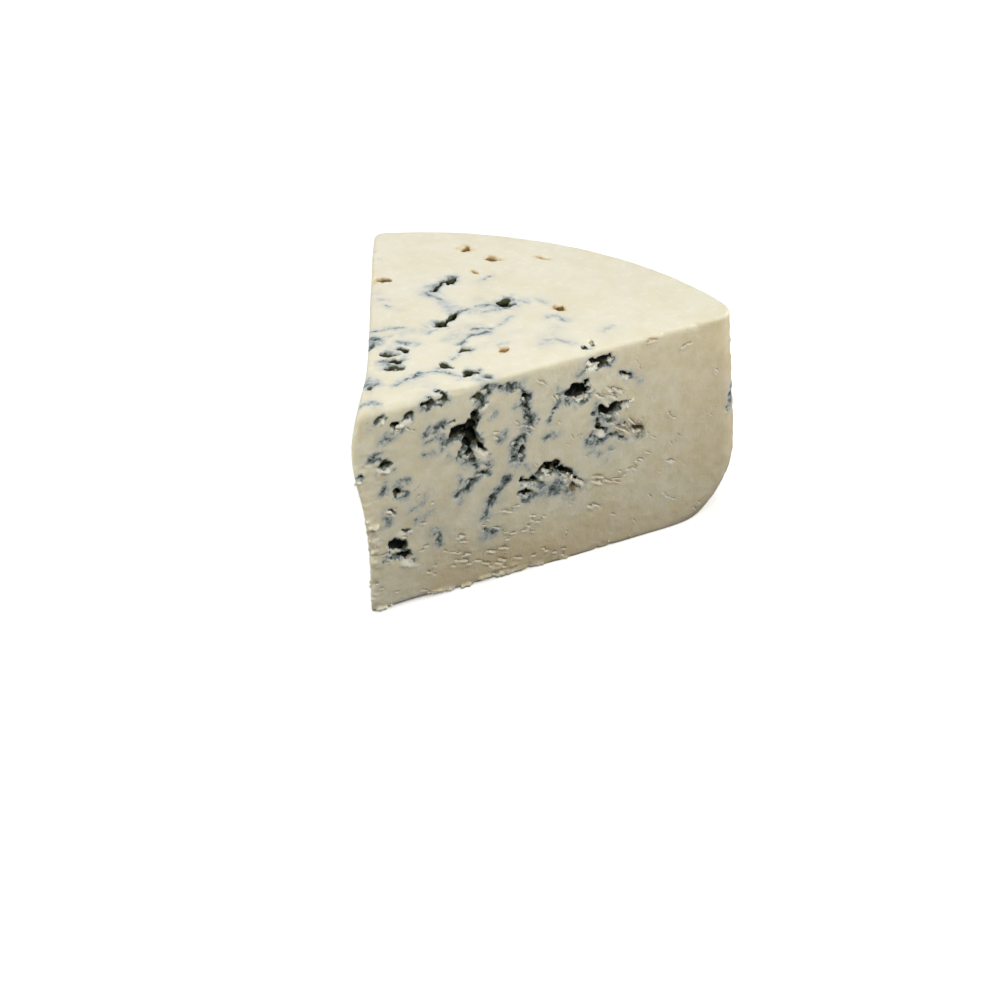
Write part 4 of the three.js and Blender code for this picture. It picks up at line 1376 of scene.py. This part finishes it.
def crumbTree(material):
    group = bpy.data.node_groups.new("clingingCrumbs", "GeometryNodeTree")
    kinds = {
        "Geometry": "NodeSocketGeometry", "Per Area": "NodeSocketFloat", "Size": "NodeSocketFloat",
        "Smallest": "NodeSocketFloat", "Largest": "NodeSocketFloat", "Seed": "NodeSocketInt",
    }
    sockets = {}
    for name, kind in kinds.items():
        sockets[name] = group.interface.new_socket(name=name, in_out="INPUT", socket_type=kind).identifier
    group.interface.new_socket(name="Geometry", in_out="OUTPUT", socket_type="NodeSocketGeometry")
    tree = Tree(group.nodes, group.links)
    start = tree.add("NodeGroupInput").outputs
    where = tree.add("GeometryNodeInputNamedAttribute", {"Name": "crumb"}, data_type="FLOAT")
    density = tree.times(where.outputs["Attribute"], start["Per Area"])
    points = tree.add("GeometryNodeDistributePointsOnFaces",
                      {"Mesh": start["Geometry"], "Density": density, "Seed": start["Seed"]})

    # a few chipped and flattened balls to pick from
    shapes = tree.add("GeometryNodeJoinGeometry")
    position = tree.add("GeometryNodeInputPosition").outputs["Position"]
    for number in range(crumbLook["shapes"]):
        ball = tree.add("GeometryNodeMeshIcoSphere", {"Radius": 1.0, "Subdivisions": 2}).outputs["Mesh"]
        shift = tuple(number * step for step in crumbLook["shapeStep"])
        spot = tree.vector("ADD", {0: position, 1: shift})[0]
        chip = tree.add("ShaderNodeTexNoise",
                        {"Vector": spot, "Scale": crumbLook["chipScale"], "Detail": 1.0})
        centred = tree.vector("SUBTRACT", {0: chip.outputs["Color"], 1: (0.5, 0.5, 0.5)})[0]
        offset = tree.vector("SCALE", {0: centred, 3: crumbLook["chip"]})[0]
        chipped = tree.add("GeometryNodeSetPosition", {"Geometry": ball, "Offset": offset})
        flatter = tree.add("GeometryNodeTransform",
                           {"Geometry": chipped.outputs["Geometry"], "Scale": crumbLook["flatten"]})
        single = tree.add("GeometryNodeGeometryToInstance", {"Geometry": flatter.outputs["Geometry"]})
        tree.links.new(single.outputs["Instances"], shapes.inputs["Geometry"])

    fullTurn = (crumbLook["fullTurn"],) * 3
    turn = tree.add("FunctionNodeRandomValue", {"Min": (0, 0, 0), "Max": fullTurn, "Seed": start["Seed"]},
                    data_type="FLOAT_VECTOR").outputs["Value"]
    share = tree.add("FunctionNodeRandomValue",
                     {2: start["Smallest"], 3: start["Largest"], "Seed": start["Seed"]},
                     data_type="FLOAT").outputs[1]
    size = tree.times(share, start["Size"])
    which = tree.add("FunctionNodeRandomValue", {4: 0, 5: crumbLook["shapes"] - 1, "Seed": start["Seed"]},
                     data_type="INT").outputs[2]
    placed = tree.add("GeometryNodeInstanceOnPoints", {
        "Points": points.outputs["Points"], "Instance": shapes.outputs["Geometry"],
        "Pick Instance": True, "Instance Index": which, "Rotation": turn, "Scale": size})
    real = tree.add("GeometryNodeRealizeInstances", {"Geometry": placed.outputs["Instances"]})
    finished = tree.add("GeometryNodeSetMaterial",
                        {"Geometry": real.outputs["Geometry"], "Material": material}).outputs["Geometry"]
    end = tree.add("NodeGroupOutput")
    tree.links.new(finished, end.inputs["Geometry"])
    return group, sockets


def scatterCrumbs(carrier, material):
    group, sockets = crumbTree(material)
    crumbs = addPiece("wedge_crumbs", carrier.data.copy())
    scatter = crumbs.modifiers.new("clingingCrumbs", "NODES")
    scatter.node_group = group
    scatter[sockets["Per Area"]] = crumbLook["perArea"]
    scatter[sockets["Size"]] = crumbLook["size"]
    scatter[sockets["Smallest"]] = crumbLook["sizeRange"][0]
    scatter[sockets["Largest"]] = crumbLook["sizeRange"][1]
    scatter[sockets["Seed"]] = crumbLook["seed"]
    keepModified(crumbs)
    return crumbs


crumbs = scatterCrumbs(body, paste)
body.data.attributes.remove(body.data.attributes["crumb"])
print("crumbs", len(crumbs.data.polygons), "triangles")

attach(body, "root")
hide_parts("wedge")
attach(crumbs, "root")


# Floor, light and camera
studio = {
    "floor": 3.0,
    "floorSeen": (0.92, 0.92, 0.92, 1.0),
    "floorRoughness": 0.9,
    "floorGlow": (0.4, 1.0), "glowReach": (0.15, 0.45),       # for the camera only: the floor stays pale
    "bounceNear": (0.02, 0.02, 0.02, 1.0),                    # what it gives back: little by the foot
    "bounceFar": (0.42, 0.375, 0.295, 1.0),
    "bounceReach": (0.125, 0.21),
    "air": 0.15,
    "lightAim": (0, 0.01, 0.03),
}
warm, plain, cool = (1.0, 0.98, 0.895), (1.0, 1.0, 1.0), (0.97, 0.99, 1.05)
lights = {   # azimuth, elevation, distance, size, strength (1 lights a facing white card fully), colour
    "frontNear": (52, 46, 0.31, 0.16, 0.41, warm),
    "rightNear": (95, 22, 0.2, 0.12, 0.12, warm),
    "tipNear": (345, 14, 0.19, 0.08, 0.18, warm),
    "topBack": (240, 58, 0.36, 0.22, 0.38, cool),
    "leftFill": (285, 20, 1.5, 0.9, 0.3, plain),
    "backFill": (145, 16, 1.4, 0.7, 0.5, plain),
}
camera = {
    "azimuth": 30.46, "elevation": 30.89, "distance": 1569.1, "aim": (24.73, 30.45, 30.0),
    "lens": 198.0, "sensor": 36.0, "clipEnd": 50.0,
}


# The way out to a light or the camera, from its angles in degrees
def outward(azimuth, elevation):
    a, e = math.radians(azimuth), math.radians(elevation)
    return Vector((math.sin(a) * math.cos(e), -math.cos(a) * math.cos(e), math.sin(e)))


def addFloor():
    half = studio["floor"]
    corners = [(-half, -half, 0), (half, -half, 0), (half, half, 0), (-half, half, 0)]
    mesh = bpy.data.meshes.new("floor")
    mesh.from_pydata(corners, [], [(0, 1, 2, 3)])
    floor = addPiece("floor", mesh)
    material = bpy.data.materials.new("floorPale")
    material.use_nodes = True
    tree = Tree(material.node_tree.nodes, material.node_tree.links)
    shader = tree.nodes["Principled BSDF"]
    seen = tree.add("ShaderNodeLightPath").outputs["Is Camera Ray"]
    away = tree.vector("LENGTH", {0: tree.add("ShaderNodeTexCoord").outputs["Object"]})[1]
    bounce = tree.mix(tree.span(away, *studio["bounceReach"]), studio["bounceNear"], studio["bounceFar"])
    tree.links.new(tree.mix(seen, bounce, studio["floorSeen"]), shader.inputs["Base Color"])
    shader.inputs["Emission Color"].default_value = (1, 1, 1, 1)
    glow = tree.span(away, *studio["glowReach"], *studio["floorGlow"])
    tree.links.new(tree.times(seen, glow), shader.inputs["Emission Strength"])
    shader.inputs["Roughness"].default_value = studio["floorRoughness"]
    mesh.materials.append(material)


def addLight(name, azimuth, elevation, distance, size, strength, colour):
    lamp = bpy.data.lights.new(name, "AREA")
    lamp.shape = "DISK"
    lamp.size = size
    lamp.energy = strength * (math.pi * distance) ** 2
    lamp.color = colour
    light = bpy.data.objects.new(name, lamp)
    light.visible_camera = False
    aim = Vector(studio["lightAim"])
    light.location = aim + distance * outward(azimuth, elevation)
    light.rotation_euler = (aim - light.location).to_track_quat("-Z", "Y").to_euler()
    bpy.context.scene.collection.objects.link(light)


def addCamera():
    data = bpy.data.cameras.new("camera")
    data.lens = camera["lens"]
    data.sensor_width = camera["sensor"]
    data.clip_end = camera["clipEnd"]
    viewer = bpy.data.objects.new("camera", data)
    aim = Vector(tipPlace) + Vector(camera["aim"]) * metre
    back = outward(camera["azimuth"], camera["elevation"])
    viewer.location = aim + back * camera["distance"] * metre
    viewer.rotation_euler = (-back).to_track_quat("-Z", "Y").to_euler()
    bpy.context.scene.collection.objects.link(viewer)
    bpy.context.scene.camera = viewer


addFloor()
for name, row in lights.items():
    addLight(name, *row)
addCamera()
world = bpy.data.worlds.new("studio")
world.use_nodes = True
sky = Tree(world.node_tree.nodes, world.node_tree.links)
seen = sky.add("ShaderNodeLightPath").outputs["Is Camera Ray"]
level = sky.timesPlus(seen, 1.0 - studio["air"], studio["air"])
sky.links.new(level, sky.nodes["Background"].inputs["Strength"])
sky.nodes["Background"].inputs["Color"].default_value = (1, 1, 1, 1)
bpy.context.scene.world = world
bpy.context.scene.view_settings.view_transform = "Standard"
print("studio ready")
